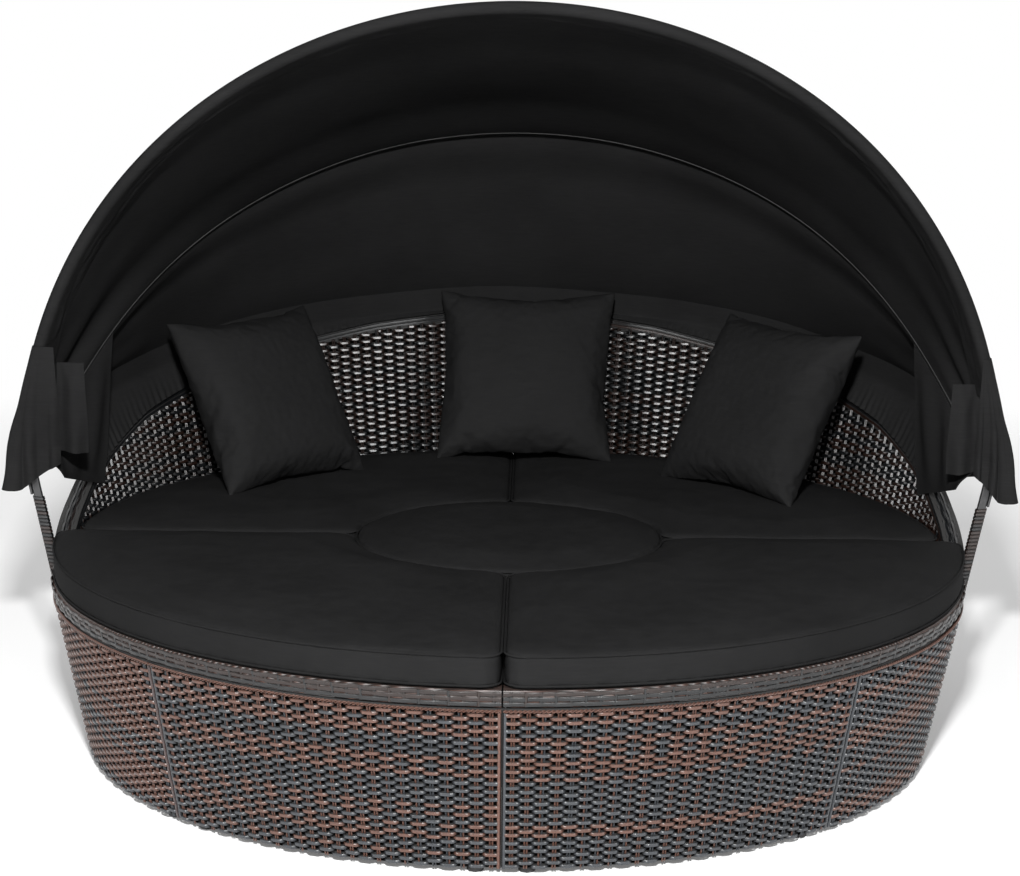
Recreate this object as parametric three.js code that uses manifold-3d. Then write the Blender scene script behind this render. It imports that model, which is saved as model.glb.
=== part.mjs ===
// Round outdoor daybed with a folding canopy, in millimetres, +Z up.
// The origin is on the floor at the centre of the round base; -Y is the open front.
// A ring of four woven seat quarters stands on steel frames round a table that rises on
// telescopic legs. A woven back wraps the rear half, and two posts carry the canopy hoops.
import * as THREE from 'three';
import { mergeVertices } from 'three/addons/utils/BufferGeometryUtils.js';
import Module from 'manifold-3d';

const wasm = await Module();
wasm.setup();

// Base
const glideHeight = 12;
const glideRadius = 15;
const glideSides = 8;
const seatHeight = 350;
const rimRadius = 900;
const wallFlare = 71;
const rimBandHeight = 29;
const grooveHeight = 4;
const seamGap = 3;
const frameSeamGap = 10;
const skinThickness = 6;
const deckThickness = 8;
const channelDepth = 14;
const frameTube = 20;
const stretcherHeight = 30;
const wellRadius = 320;
const deckInnerRadius = 312;
const uprightSeamOffset = 45;
const linkTab = { width: 34, thickness: 3, inset: 70 };

// Back wall
const backThickness = 38;
const backRise = 372;
const backRailHeight = 20;
const backRailRound = 5;
const backEndGap = 12;
const backUprightAngles = [4, 32, 60, 84];
const backHeightShares = [1, 0.985, 0.94, 0.87, 0.79, 0.69, 0.585, 0.43, 0.25, 0.1];

// Canopy posts and pivots
const postTube = 16;
const postFootHeight = 30;
const postTopDrop = 23;
const postCorner = 2.5;
const wrapThickness = 1.6;
const wrapFootDrop = 263;
const wrapTopDrop = 83;
const pivotHeight = 553;
const pivotBoltRadius = 4;
const pivotHoleClearance = 0.5;
const pivotHead = { radius: 8, height: 5, sides: 6 };
const bracket = { thickness: 4, width: 26, footDrop: 69, crown: 15 };
const brace = { thickness: 3, width: 16, flatLength: 40, wallAngle: 74, standShare: 0.7 };

// Hoops
const hoopTube = 19;
const hoopEye = { thickness: 3, width: 24, length: 58, blend: 22 };
const hoopSteps = 26;
const hoopSides = 8;
const hoopOverhang = 45;
const middleHoopInset = 14;
const hoopLeanAngles = { front: 15.8, middle: -46.8 };
const hoopSway = 12;
const flarePower = 4;

// Cloth
const clothThickness = 3;
const clothClearance = 1;
const clothStartStep = 1;
const skirtStartStep = 2;
const clothSag = 14;
const clothLines = 3;
const hemDepth = 65;
const hemTurnShare = 0.8;
const skirtSeam = 0.6;
const skirtDrop = 84;
const skirtStand = 9;
const skirtPleat = 5;
const skirtStepsPerPleat = 2;
const flap = { rise: 189, drop: 56, inner: 74, width: 150, spread: 4, folds: 7, fold: 9, steps: 4 };
const flapSeat = 16.5;
const flapTopFoldShare = 0.15;
const flapInnerShare = 0.4;
const flapTopInnerShare = 0.55;

// Seat cushions
const cushionThickness = 69;
const cushionGap = 4;
const frontCushionInset = 3;
const rearCushionClearance = 5;
const centreCushionRadius = 304;
const cushionCorner = 36;
const cushionCornerSteps = 3;
const cushionInsets = [7, 0.8, 5, 0.8, 9, 40, 105];
const cushionHeightShares = [0, 0.13, 0.48, 0.82, 0.91, 0.97, 1];

// Pillows
const pillow = { size: 400, thickness: 150, pull: 15, sidePoints: 7 };
const pillowRingShares = [1, 0.93, 0.8, 0.6, 0.33];
const pillowLoftShares = [0.05, 0.36, 0.66, 0.89, 1];
const pillowPlaces = {
  left: { turn: 48, inset: 240, lean: 30 },
  centre: { turn: -2, inset: 178, lean: 26 },
  right: { turn: -50, inset: 260, lean: 30 },
};

// Lift table in the well
const tableRadius = 300;
const tableThickness = 24;
const tableEdgeRound = 6;
const tableSteps = 32;
const tableRing = { radius: 262, width: 20 };
const tableLegCircle = 205;
const tableLegRadius = 9.5;
const sleeveRadius = 12.5;
const sleeveBore = 10;
const sleeveDrop = 80;
const tableBase = { height: 18, width: 26 };
const lockKnob = { radius: 11, length: 16, drop: 22, stem: 4, stemLength: 6 };
const roundSides = 12;

// Fits
const fitGap = 0.3;
const stepsPerEighth = 8;

// The weave swells over every fourth stake.
const weaveRise = 4;
const panelSwells = 6;

const degrees = Math.PI / 180;
const quarterAngle = 90;
const eighthAngle = 45;
const wallFootRadius = rimRadius - wallFlare;
const frontCushionRadius = rimRadius - frontCushionInset;
const rearCushionRadius = rimRadius - backThickness - rearCushionClearance;
const facetSag = rimRadius * (1 - Math.cos((eighthAngle / stepsPerEighth / 2) * degrees));
const coneSlope = (rimRadius - wallFootRadius) / (seatHeight - glideHeight);
const bandBottom = seatHeight - rimBandHeight;
const panelTop = bandBottom - grooveHeight;
const frameTop = seatHeight - deckThickness - fitGap;
const cushionBottom = seatHeight + fitGap;
const cushionTop = cushionBottom + cushionThickness;
const backFoot = seatHeight + fitGap;
const backSteps = 2 * (backHeightShares.length - 1);
const hoopRadius = rimRadius + hoopOverhang;
const postTopHeight = pivotHeight - postTopDrop;
const wrapFootHeight = pivotHeight - wrapFootDrop;
const wrapTopHeight = pivotHeight - wrapTopDrop;
const sleeveHeight = seatHeight - sleeveDrop;

// The whole shell, base and back alike, is one cone that widens upwards.
function shellRadius(height) {
  return wallFootRadius + (height - glideHeight) * coneSlope;
}

function onRound(radius, angle, height) {
  return new THREE.Vector3(radius * Math.cos(angle * degrees), radius * Math.sin(angle * degrees), height);
}

// Top of the back at an angle counted from straight behind.
function backTop(fromRear) {
  const place = (Math.abs(fromRear) / quarterAngle) * (backHeightShares.length - 1);
  const low = Math.min(Math.floor(place), backHeightShares.length - 2);
  const share = THREE.MathUtils.lerp(backHeightShares[low], backHeightShares[low + 1], place - low);
  return seatHeight + backRise * share;
}

// Closed meshes

function polygonArea(points, corners) {
  let area = 0;
  for (let i = 0; i < corners.length; i += 1) {
    const a = points[corners[i]];
    const b = points[corners[(i + 1) % corners.length]];
    area += (a.x * b.y - b.x * a.y) / 2;
  }
  return area;
}

function capTriangles(ring) {
  const normal = new THREE.Vector3();
  ring.forEach((point, i) => {
    normal.add(new THREE.Vector3().crossVectors(point, ring[(i + 1) % ring.length]));
  });
  const size = ['x', 'y', 'z'].map((axis) => Math.abs(normal[axis]));
  const drop = size.indexOf(Math.max(...size));
  const kept = ['x', 'y', 'z'].filter((axis, i) => i !== drop);
  const flat = ring.map((point) => new THREE.Vector2(point[kept[0]], point[kept[1]]));
  const turn = Math.sign(polygonArea(flat, flat.map((point, i) => i)));
  return THREE.ShapeUtils.triangulateShape(flat, []).map(([a, b, c]) =>
    Math.sign(polygonArea(flat, [a, b, c])) === turn ? [a, b, c] : [a, c, b]);
}

function meshVolume(position, index) {
  const [a, b, c] = [new THREE.Vector3(), new THREE.Vector3(), new THREE.Vector3()];
  let volume = 0;
  for (let i = 0; i < index.length; i += 3) {
    a.fromArray(position, index[i] * 3);
    b.fromArray(position, index[i + 1] * 3);
    c.fromArray(position, index[i + 2] * 3);
    volume += a.dot(b.cross(c)) / 6;
  }
  return volume;
}

// A solid through a row of like rings, closed by flat ends or, in a loop, on itself.
function loft(rings, isLoop = false) {
  const count = rings[0].length;
  const position = rings.flat().flatMap((point) => point.toArray());
  const index = [];
  const spans = isLoop ? rings.length : rings.length - 1;
  for (let i = 0; i < spans; i += 1) {
    const next = (i + 1) % rings.length;
    for (let j = 0; j < count; j += 1) {
      const k = (j + 1) % count;
      const [a, b] = [i * count + j, i * count + k];
      const [c, d] = [next * count + j, next * count + k];
      index.push(a, b, d, a, d, c);
    }
  }
  if (!isLoop) {
    const last = (rings.length - 1) * count;
    capTriangles(rings[0]).forEach(([a, b, c]) => index.push(a, c, b));
    capTriangles(rings[rings.length - 1]).forEach(([a, b, c]) => index.push(last + a, last + b, last + c));
  }
  if (meshVolume(position, index) < 0) {
    index.reverse();
  }
  const geometry = new THREE.BufferGeometry();
  geometry.setAttribute('position', new THREE.Float32BufferAttribute(position, 3));
  geometry.setIndex(index);
  return geometry;
}

// A radial section swept round the upright axis between two seams. It is given its angle and
// how far the weave swells there.
function sweepRound(sectionAt, from, to, steps, gap) {
  const rings = [];
  for (let i = 0; i <= steps; i += 1) {
    const angle = THREE.MathUtils.lerp(from, to, i / steps);
    const side = (i === 0) - (i === steps);
    const swell = side === 0 && i % 2 === 0 ? weaveRise : 0;
    const end = (side * Math.asin(gap / 2 / rimRadius)) / degrees;
    rings.push(sectionAt(angle + end, swell).map(([radius, height]) =>
      onRound(radius, angle + (side * Math.asin(gap / 2 / radius)) / degrees, height)));
  }
  return loft(rings);
}

function toManifold(geometry) {
  const bare = geometry.clone();
  bare.deleteAttribute('normal');
  bare.deleteAttribute('uv');
  const merged = mergeVertices(bare);
  return new wasm.Manifold(new wasm.Mesh({
    numProp: 3,
    vertProperties: new Float32Array(merged.attributes.position.array),
    triVerts: new Uint32Array(merged.index.array),
  }));
}

function fromManifold(solid) {
  const { vertProperties, triVerts } = solid.getMesh();
  const geometry = new THREE.BufferGeometry();
  geometry.setAttribute('position', new THREE.BufferAttribute(new Float32Array(vertProperties), 3));
  geometry.setIndex(new THREE.BufferAttribute(new Uint32Array(triVerts), 1));
  return geometry;
}

function fuse(geometries) {
  return fromManifold(geometries.map(toManifold).reduce((whole, piece) => whole.add(piece)));
}

function drill(geometry, holes) {
  const solid = toManifold(geometry);
  return fromManifold(holes.map(toManifold).reduce((whole, hole) => whole.subtract(hole), solid));
}

function mirrored(geometry) {
  const copy = geometry.clone();
  copy.scale(-1, 1, 1);
  copy.setIndex(Array.from(copy.index.array).reverse());
  return copy;
}

function disc(radius, height, sides, centre) {
  const geometry = new THREE.CylinderGeometry(radius, radius, height, sides);
  geometry.rotateX(quarterAngle * degrees);
  geometry.translate(centre.x, centre.y, centre.z);
  return geometry;
}

// A round pin along X.
function crossPin(radius, from, to, sides, y, z) {
  const geometry = new THREE.CylinderGeometry(radius, radius, to - from, sides);
  geometry.rotateZ(quarterAngle * degrees);
  geometry.translate((from + to) / 2, y, z);
  return geometry;
}

function box(low, high) {
  const geometry = new THREE.BoxGeometry(high.x - low.x, high.y - low.y, high.z - low.z);
  geometry.translate((low.x + high.x) / 2, (low.y + high.y) / 2, (low.z + high.z) / 2);
  return geometry;
}

// Base pieces

const uprightFace = (height) => shellRadius(height) - channelDepth - facetSag - fitGap;
const innerFace = wellRadius + skinThickness + fitGap;

// How far out a square tube may lie inside a round face, beside the radial line by an offset.
function seatedReach(radius, offset) {
  return Math.sqrt(radius ** 2 - (Math.abs(offset) + frameTube / 2) ** 2);
}

// An upright tube that follows a round face from inside.
function upright(faceAt, depth, angle, offset, foot, top) {
  const across = onRound(1, angle + quarterAngle, 0);
  const ring = (height) => [[0, -1], [0, 1], [1, 1], [1, -1]].map(([inward, side]) =>
    onRound(seatedReach(faceAt(height), offset) - inward * depth, angle, height)
      .addScaledVector(across, offset + (side * frameTube) / 2));
  return loft([ring(foot), ring(top)]);
}

function radialTube(angle, offset, from, to, foot) {
  const tube = box(
    new THREE.Vector3(from, offset - frameTube / 2, foot),
    new THREE.Vector3(to, offset + frameTube / 2, foot + frameTube),
  );
  return tube.rotateZ(angle * degrees);
}

function seatPanelSection(angle, swell) {
  const foot = glideHeight;
  const top = panelTop;
  return [
    [shellRadius(foot) + swell, foot],
    [shellRadius(top) + swell, top],
    [shellRadius(top) - channelDepth, top],
    [shellRadius(top - skinThickness) - channelDepth, top - skinThickness],
    [shellRadius(top - skinThickness) - skinThickness, top - skinThickness],
    [shellRadius(foot + skinThickness) - skinThickness, foot + skinThickness],
    [shellRadius(foot + skinThickness) - channelDepth, foot + skinThickness],
    [shellRadius(foot) - channelDepth, foot],
  ];
}

function outerPanel(from) {
  return sweepRound(seatPanelSection, from, from + eighthAngle, 2 * (panelSwells + 1), seamGap);
}

function deckSection() {
  const under = seatHeight - deckThickness;
  return [
    [deckInnerRadius, bandBottom],
    [deckInnerRadius, seatHeight],
    [shellRadius(seatHeight) - backRailRound, seatHeight],
    [shellRadius(seatHeight - backRailRound), seatHeight - backRailRound],
    [shellRadius(bandBottom), bandBottom],
    [shellRadius(bandBottom) - deckThickness, bandBottom],
    [shellRadius(under) - deckThickness, under],
    [deckInnerRadius + deckThickness, under],
    [deckInnerRadius + deckThickness, bandBottom],
  ];
}

function seatDeck(from) {
  return sweepRound(deckSection, from, from + quarterAngle, stepsPerEighth * 2, seamGap);
}

function innerPanel(from) {
  const section = () => [
    [wellRadius, glideHeight],
    [wellRadius, panelTop],
    [wellRadius + skinThickness, panelTop],
    [wellRadius + skinThickness, glideHeight],
  ];
  return sweepRound(section, from, from + quarterAngle, stepsPerEighth, seamGap);
}

// A plastic glide capped over the foot of an upright.
function floorGlide(place) {
  const top = glideHeight - fitGap;
  return disc(glideRadius, top, glideSides, new THREE.Vector3(place.x, place.y, top / 2));
}

// A tab welded under the last radial tube reaches under the first tube of the next quarter.
function linkTabSolids(radius, inset) {
  const top = frameTop - frameTube - fitGap;
  const half = linkTab.width / 2;
  return [
    box(
      new THREE.Vector3(radius - half, -inset - frameTube / 2, top - linkTab.thickness),
      new THREE.Vector3(radius + half, inset + frameTube / 2, top),
    ),
    box(
      new THREE.Vector3(radius - half, -inset - frameTube / 2, top - linkTab.thickness),
      new THREE.Vector3(radius + half, -inset + frameTube / 2, frameTop - frameTube / 2),
    ),
  ];
}

const seatSeamAngles = [-quarterAngle, 0, quarterAngle, 2 * quarterAngle];
const uprightPlaces = [[0, 1], [eighthAngle, -1], [eighthAngle, 1], [quarterAngle, -1]];

function seatFrame(from) {
  const deckFace = shellRadius(bandBottom) - deckThickness - facetSag - fitGap;
  const outerArc = () => [
    [deckFace - frameTube, frameTop - frameTube],
    [deckFace, frameTop - frameTube],
    [deckFace, frameTop],
    [deckFace - frameTube, frameTop],
  ];
  const innerArc = () => [
    [innerFace, frameTop - frameTube],
    [innerFace + frameTube, frameTop - frameTube],
    [innerFace + frameTube, frameTop],
    [innerFace, frameTop],
  ];
  const lowFace = uprightFace(stretcherHeight);
  const lowArc = () => [
    [lowFace - frameTube, stretcherHeight],
    [lowFace, stretcherHeight],
    [lowFace, stretcherHeight + frameTube],
    [lowFace - frameTube, stretcherHeight + frameTube],
  ];
  const inset = (frameSeamGap + frameTube) / 2;
  const reach = deckFace - frameTube / 2;
  const start = innerFace + frameTube / 2;
  const pieces = [
    sweepRound(outerArc, from, from + quarterAngle, stepsPerEighth, frameSeamGap),
    sweepRound(innerArc, from, from + quarterAngle, stepsPerEighth, frameSeamGap),
    sweepRound(lowArc, from, from + quarterAngle, stepsPerEighth, frameSeamGap),
    radialTube(from, inset, start, reach, frameTop - frameTube),
    radialTube(from + eighthAngle, 0, start, reach, frameTop - frameTube),
    radialTube(from + quarterAngle, -inset, start, reach, frameTop - frameTube),
    radialTube(from, inset, start, lowFace - frameTube / 2, stretcherHeight),
    radialTube(from + quarterAngle, -inset, start, lowFace - frameTube / 2, stretcherHeight),
  ];
  const stand = (faceAt, angle, offset) => {
    pieces.push(upright(faceAt, frameTube, from + angle, offset, glideHeight / 2, frameTop - frameTube / 2));
    const centre = seatedReach(faceAt(glideHeight), offset) - frameTube / 2;
    const beside = onRound(offset, from + angle + quarterAngle, 0);
    pieces.push(floorGlide(onRound(centre, from + angle, 0).add(beside)));
  };
  uprightPlaces.forEach(([angle, side]) => stand(uprightFace, angle, side * uprightSeamOffset));
  const wellSide = () => Math.hypot(innerFace + frameTube, inset + frameTube / 2);
  [[0, 1], [quarterAngle, -1]].forEach(([angle, side]) => stand(wellSide, angle, side * inset));
  [innerFace + linkTab.inset, reach - linkTab.inset].forEach((radius) => {
    const turn = (from + quarterAngle) * degrees;
    pieces.push(...linkTabSolids(radius, inset).map((solid) => solid.rotateZ(turn)));
  });
  return fuse(pieces);
}

// Back pieces, from one end at the side to the seam straight behind

function backSkin(outside) {
  const near = outside ? 0 : backThickness - skinThickness;
  const section = (angle, swell) => {
    const top = backTop(angle - quarterAngle) - backRailHeight - 2 * fitGap;
    const rise = outside ? swell : 0;
    return [
      [shellRadius(backFoot) - near + rise, backFoot],
      [shellRadius(top) - near + rise, top],
      [shellRadius(top) - near - skinThickness, top],
      [shellRadius(backFoot) - near - skinThickness, backFoot],
    ];
  };
  return sweepRound(section, 0, quarterAngle, outside ? 2 * backSteps : backSteps, 2 * backEndGap);
}

function backRail() {
  const section = (angle) => {
    const top = backTop(angle - quarterAngle);
    const low = top - backRailHeight;
    const outer = shellRadius(top);
    const inner = outer - backThickness;
    return [
      [outer, low],
      [outer, top - backRailRound],
      [outer - backRailRound, top],
      [inner + backRailRound, top],
      [inner, top - backRailRound],
      [inner, low],
    ];
  };
  return sweepRound(section, 0, quarterAngle, backSteps, 2 * backEndGap);
}

function backFrame() {
  const outerFace = (height) => shellRadius(height) - skinThickness - facetSag - fitGap;
  const depth = backThickness - 2 * skinThickness - facetSag - 2 * fitGap;
  const railTop = backFoot + frameTube / 2;
  const section = () => [
    [outerFace(backFoot), backFoot],
    [outerFace(backFoot) - depth, backFoot],
    [outerFace(railTop) - depth, railTop],
    [outerFace(railTop), railTop],
  ];
  const pieces = backUprightAngles.map((fromRear) => {
    const beside = fromRear + (frameTube / 2 / wallFootRadius) / degrees;
    return upright(outerFace, depth, quarterAngle - fromRear, 0, backFoot,
      backTop(beside) - backRailHeight - 2 * fitGap - facetSag);
  });
  return fuse([sweepRound(section, 0, quarterAngle, backSteps, 2 * backEndGap), ...pieces]);
}

// Canopy posts

const postInnerFace = (height) => shellRadius(height) + fitGap + wrapThickness + fitGap;
const postOuterFace = (height) => postInnerFace(height) + postTube;
const earFace = postOuterFace(postTopHeight) + fitGap;

function roundedSquare(half, corner) {
  const shape = new THREE.Shape();
  const inner = half - corner;
  const centres = [[inner, -inner], [inner, inner], [-inner, inner], [-inner, -inner]];
  shape.moveTo(inner, -half);
  centres.forEach(([x, y], i) => {
    shape.absarc(x, y, corner, (i - 1) * quarterAngle * degrees, i * quarterAngle * degrees, false);
  });
  return shape;
}

// The post's square section, laid level at a height and moved out along the cone.
function postRing(half, corner, height, outline = roundedSquare(half, corner).getPoints(2).slice(0, -1)) {
  const centre = (postInnerFace(height) + postOuterFace(height)) / 2;
  return outline.map((point) => new THREE.Vector3(centre + point.x, point.y, height));
}

function canopyPost() {
  const half = postTube / 2;
  return loft([postRing(half, postCorner, postFootHeight), postRing(half, postCorner, postTopHeight)]);
}

function postWrap() {
  const outer = postTube / 2 + fitGap + wrapThickness;
  const inner = postTube / 2 + fitGap;
  const outside = loft([
    postRing(outer, postCorner + wrapThickness, wrapFootHeight),
    postRing(outer, postCorner + wrapThickness, wrapTopHeight),
  ]);
  const inside = loft([
    postRing(inner, postCorner + fitGap, wrapFootHeight - postTube),
    postRing(inner, postCorner + fitGap, wrapTopHeight + postTube),
  ]);
  return drill(outside, [inside]);
}

// A bent strap: its foot lies on the sloping post and its ear stands upright at the pivot.
function pivotBracket() {
  const foot = pivotHeight - bracket.footDrop;
  const strap = new THREE.Shape([
    new THREE.Vector2(postOuterFace(foot) + fitGap, foot),
    new THREE.Vector2(postOuterFace(foot) + fitGap + bracket.thickness, foot),
    new THREE.Vector2(earFace + bracket.thickness, postTopHeight),
    new THREE.Vector2(earFace + bracket.thickness, pivotHeight + bracket.crown),
    new THREE.Vector2(earFace, pivotHeight + bracket.crown),
    new THREE.Vector2(earFace, postTopHeight),
  ]);
  const blank = new THREE.ExtrudeGeometry(strap, { depth: bracket.width, bevelEnabled: false });
  blank.rotateX(quarterAngle * degrees);
  blank.translate(0, bracket.width / 2, 0);
  const crownReach = 2 * bracket.thickness;
  const [from, to] = [earFace - crownReach, earFace + crownReach];
  const crown = crossPin(bracket.crown, from, to, roundSides, 0, pivotHeight);
  const body = box(
    new THREE.Vector3(0, -bracket.width, foot - bracket.width),
    new THREE.Vector3(earFace + bracket.width, bracket.width, pivotHeight),
  );
  const rounded = fromManifold(toManifold(blank).intersect(toManifold(fuse([crown, body]))));
  return drill(rounded, [pivotHole()]);
}

function pivotHole() {
  const reach = bracket.width * 2;
  const radius = pivotBoltRadius + pivotHoleClearance;
  return crossPin(radius, earFace - reach, earFace + reach, roundSides, 0, pivotHeight);
}

// From the inside outwards: nut, middle hoop, brace, bracket ear, rear hoop, front hoop, bolt head.
const braceFace = earFace - fitGap - brace.thickness;
const middleEyeFace = braceFace - fitGap - hoopEye.thickness;
const nutFace = middleEyeFace - fitGap;
const rearEyeFace = earFace + bracket.thickness + fitGap;
const frontEyeFace = rearEyeFace + hoopEye.thickness + fitGap;
const headFace = frontEyeFace + hoopEye.thickness + fitGap;

function pivotBolt() {
  const { radius, height, sides } = pivotHead;
  const shank = crossPin(pivotBoltRadius, nutFace - height, headFace + height, roundSides, 0, pivotHeight);
  const head = crossPin(radius, headFace, headFace + height, sides, 0, pivotHeight);
  const nut = crossPin(radius, nutFace - height, nutFace, sides, 0, pivotHeight);
  return fuse([shank, head, nut]);
}

// A flat bar from the pivot bolt to the end of the back rail.
function backBrace() {
  const angle = quarterAngle - brace.wallAngle;
  const top = backTop(brace.wallAngle);
  const seat = onRound(shellRadius(top) - backThickness / 2, angle, top + brace.width * brace.standShare);
  const eye = new THREE.Vector3(braceFace + brace.thickness / 2, 0, pivotHeight);
  const upright = new THREE.Vector3().subVectors(seat, eye).setX(0).normalize();
  const kink = eye.clone().addScaledVector(upright, brace.flatLength);
  const sloping = new THREE.Vector3().subVectors(seat, kink).normalize();
  const half = brace.width / 2;
  const ring = (centre, along, height) => {
    const side = new THREE.Vector3(1, 0, 0).addScaledVector(along, -along.x).normalize();
    const up = new THREE.Vector3().crossVectors(side, along);
    return [[-1, -1], [-1, 1], [1, 1], [1, -1]].map(([a, b]) => centre.clone()
      .addScaledVector(side, (a * brace.thickness) / 2)
      .addScaledVector(up, b * height));
  };
  const bar = loft([
    ring(eye.clone().addScaledVector(upright, -half), upright, half / 2),
    ring(eye.clone().addScaledVector(upright, -half / 2), upright, half),
    ring(kink, upright, half),
    ring(seat, sloping, half),
    ring(seat.clone().addScaledVector(sloping, half / 2), sloping, half / 2),
  ]);
  return drill(bar, [pivotHole()]);
}

// Hoops

const rearRest = seatHeight + backRise + fitGap + hoopTube / 2;
const rearReachY = shellRadius(seatHeight + backRise) - backThickness / 2;
const rearReach = Math.hypot(rearReachY, rearRest - pivotHeight);
const rearLean = -Math.atan2(rearReachY, rearRest - pivotHeight) / degrees;

const middleRadius = rimRadius - middleHoopInset;

const hoops = {
  front: { radius: hoopRadius, reach: hoopRadius, lean: hoopLeanAngles.front, eyeFace: frontEyeFace },
  middle: { radius: middleRadius, reach: middleRadius, lean: hoopLeanAngles.middle, eyeFace: middleEyeFace },
  rear: { radius: hoopRadius, reach: rearReach, lean: rearLean, eyeFace: rearEyeFace },
};

// Steps round a hoop, from the right eye over the crown to the left eye.
const roundStart = Math.asin((hoopEye.length + hoopEye.blend) / hoopRadius);
const roundEnd = 2 * quarterAngle * degrees - roundStart;
const hoopAngle = (step) => THREE.MathUtils.lerp(roundStart, roundEnd, step / hoopSteps);

// The hoops spring a little to the right towards their crowns.
function hoopPoint(hoop, angle) {
  const flare = hoop.eyeFace + hoopEye.thickness / 2 - hoop.radius;
  const half = hoop.radius + flare * (1 - Math.sin(angle)) ** flarePower;
  const rise = hoop.reach * Math.sin(angle);
  return new THREE.Vector3(
    half * Math.cos(angle) + hoopSway * Math.sin(angle) ** 2,
    -rise * Math.sin(hoop.lean * degrees),
    pivotHeight + rise * Math.cos(hoop.lean * degrees),
  );
}

// Directions at a point of a hoop: along it, out of its curve, and forwards out of its plane.
function hoopFrame(hoop, angle) {
  const nudge = quarterAngle * degrees / hoopSteps;
  const along = hoopPoint(hoop, angle + nudge).sub(hoopPoint(hoop, angle - nudge)).normalize();
  const forward = new THREE.Vector3(0, -Math.cos(hoop.lean * degrees), -Math.sin(hoop.lean * degrees));
  const out = new THREE.Vector3().crossVectors(along, forward).normalize();
  if (out.dot(hoopPoint(hoop, angle).sub(new THREE.Vector3(0, 0, pivotHeight))) < 0) {
    out.negate();
  }
  return { point: hoopPoint(hoop, angle), along, out, forward };
}

function hoopRing(centre, out, forward, halfOut, halfForward, squareness) {
  const ring = [];
  for (let i = 0; i < hoopSides; i += 1) {
    const turn = (i / hoopSides) * 4 * quarterAngle * degrees;
    const bent = (value) => Math.sign(Math.round(value / fitGap)) * Math.abs(value) ** squareness;
    ring.push(centre.clone()
      .addScaledVector(out, halfOut * bent(Math.cos(turn)))
      .addScaledVector(forward, halfForward * bent(Math.sin(turn))));
  }
  return ring;
}

function hoopTubeSolid(hoop) {
  const rings = [];
  const eyeRings = (side) => {
    const rise = new THREE.Vector3(0, -Math.sin(hoop.lean * degrees), Math.cos(hoop.lean * degrees));
    const forward = new THREE.Vector3(0, -Math.cos(hoop.lean * degrees), -Math.sin(hoop.lean * degrees));
    const centre = new THREE.Vector3(side * (hoop.eyeFace + hoopEye.thickness / 2), 0, pivotHeight);
    const half = hoopEye.width / 2;
    const flat = 1 / 4;
    return [[-half, half / 2], [-half / 2, half], [hoopEye.length, half]].map(([along, width]) =>
      hoopRing(centre.clone().addScaledVector(rise, along), new THREE.Vector3(side, 0, 0), forward,
        hoopEye.thickness / 2, width, flat));
  };
  rings.push(...eyeRings(1));
  for (let step = 0; step <= hoopSteps; step += 1) {
    const { point, out, forward } = hoopFrame(hoop, hoopAngle(step));
    rings.push(hoopRing(point, out, forward, hoopTube / 2, hoopTube / 2, 1));
  }
  rings.push(...eyeRings(-1).reverse());
  return drill(loft(rings), [pivotHole(), mirrored(toIndexed(pivotHole()))]);
}

function toIndexed(geometry) {
  const bare = geometry.clone();
  bare.deleteAttribute('normal');
  bare.deleteAttribute('uv');
  return mergeVertices(bare);
}

// Canopy cloth

const clothSeat = hoopTube / 2 + clothClearance + clothThickness / 2;

// A strip of cloth with thickness, from its middle line and the direction along the hoops.
function thickStrip(line, along) {
  const side = line.map((point, i) => {
    const before = line[Math.max(i - 1, 0)];
    const after = line[Math.min(i + 1, line.length - 1)];
    const run = new THREE.Vector3().subVectors(after, before).normalize();
    return new THREE.Vector3().crossVectors(run, along).normalize();
  });
  const half = clothThickness / 2;
  const lift = (sign) => line.map((point, i) => point.clone().addScaledVector(side[i], sign * half));
  return [...lift(1), ...lift(-1).reverse()];
}

function spanLine(from, to, sag, towards) {
  const line = [];
  for (let i = 1; i <= clothLines; i += 1) {
    const share = i / (clothLines + 1);
    line.push(new THREE.Vector3().lerpVectors(from, to, share)
      .addScaledVector(towards, -sag * 4 * share * (1 - share)));
  }
  return line;
}

function clothSolid(lineAt) {
  const rings = [];
  for (let step = clothStartStep; step <= hoopSteps - clothStartStep; step += 1) {
    const { line, along } = lineAt(hoopAngle(step));
    rings.push(thickStrip(line, along));
  }
  return loft(rings);
}

// The way out of a hoop that is square to cloth pulled tight from it towards another place.
function tightOut(frame, towards) {
  const pull = new THREE.Vector3().subVectors(towards, frame.point);
  pull.addScaledVector(frame.along, -pull.dot(frame.along)).normalize();
  const out = new THREE.Vector3().crossVectors(frame.along, pull).normalize();
  return { pull, out: out.dot(frame.out) < 0 ? out.negate() : out };
}

function hoopsAt(angle) {
  const front = hoopFrame(hoops.front, angle);
  const middle = hoopFrame(hoops.middle, angle);
  const rear = hoopFrame(hoops.rear, angle);
  const seamOut = tightOut(middle, front.point).out.add(tightOut(middle, rear.point).out).normalize();
  const seam = middle.point.clone().addScaledVector(seamOut, clothSeat);
  return { front, middle, rear, seam };
}

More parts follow.
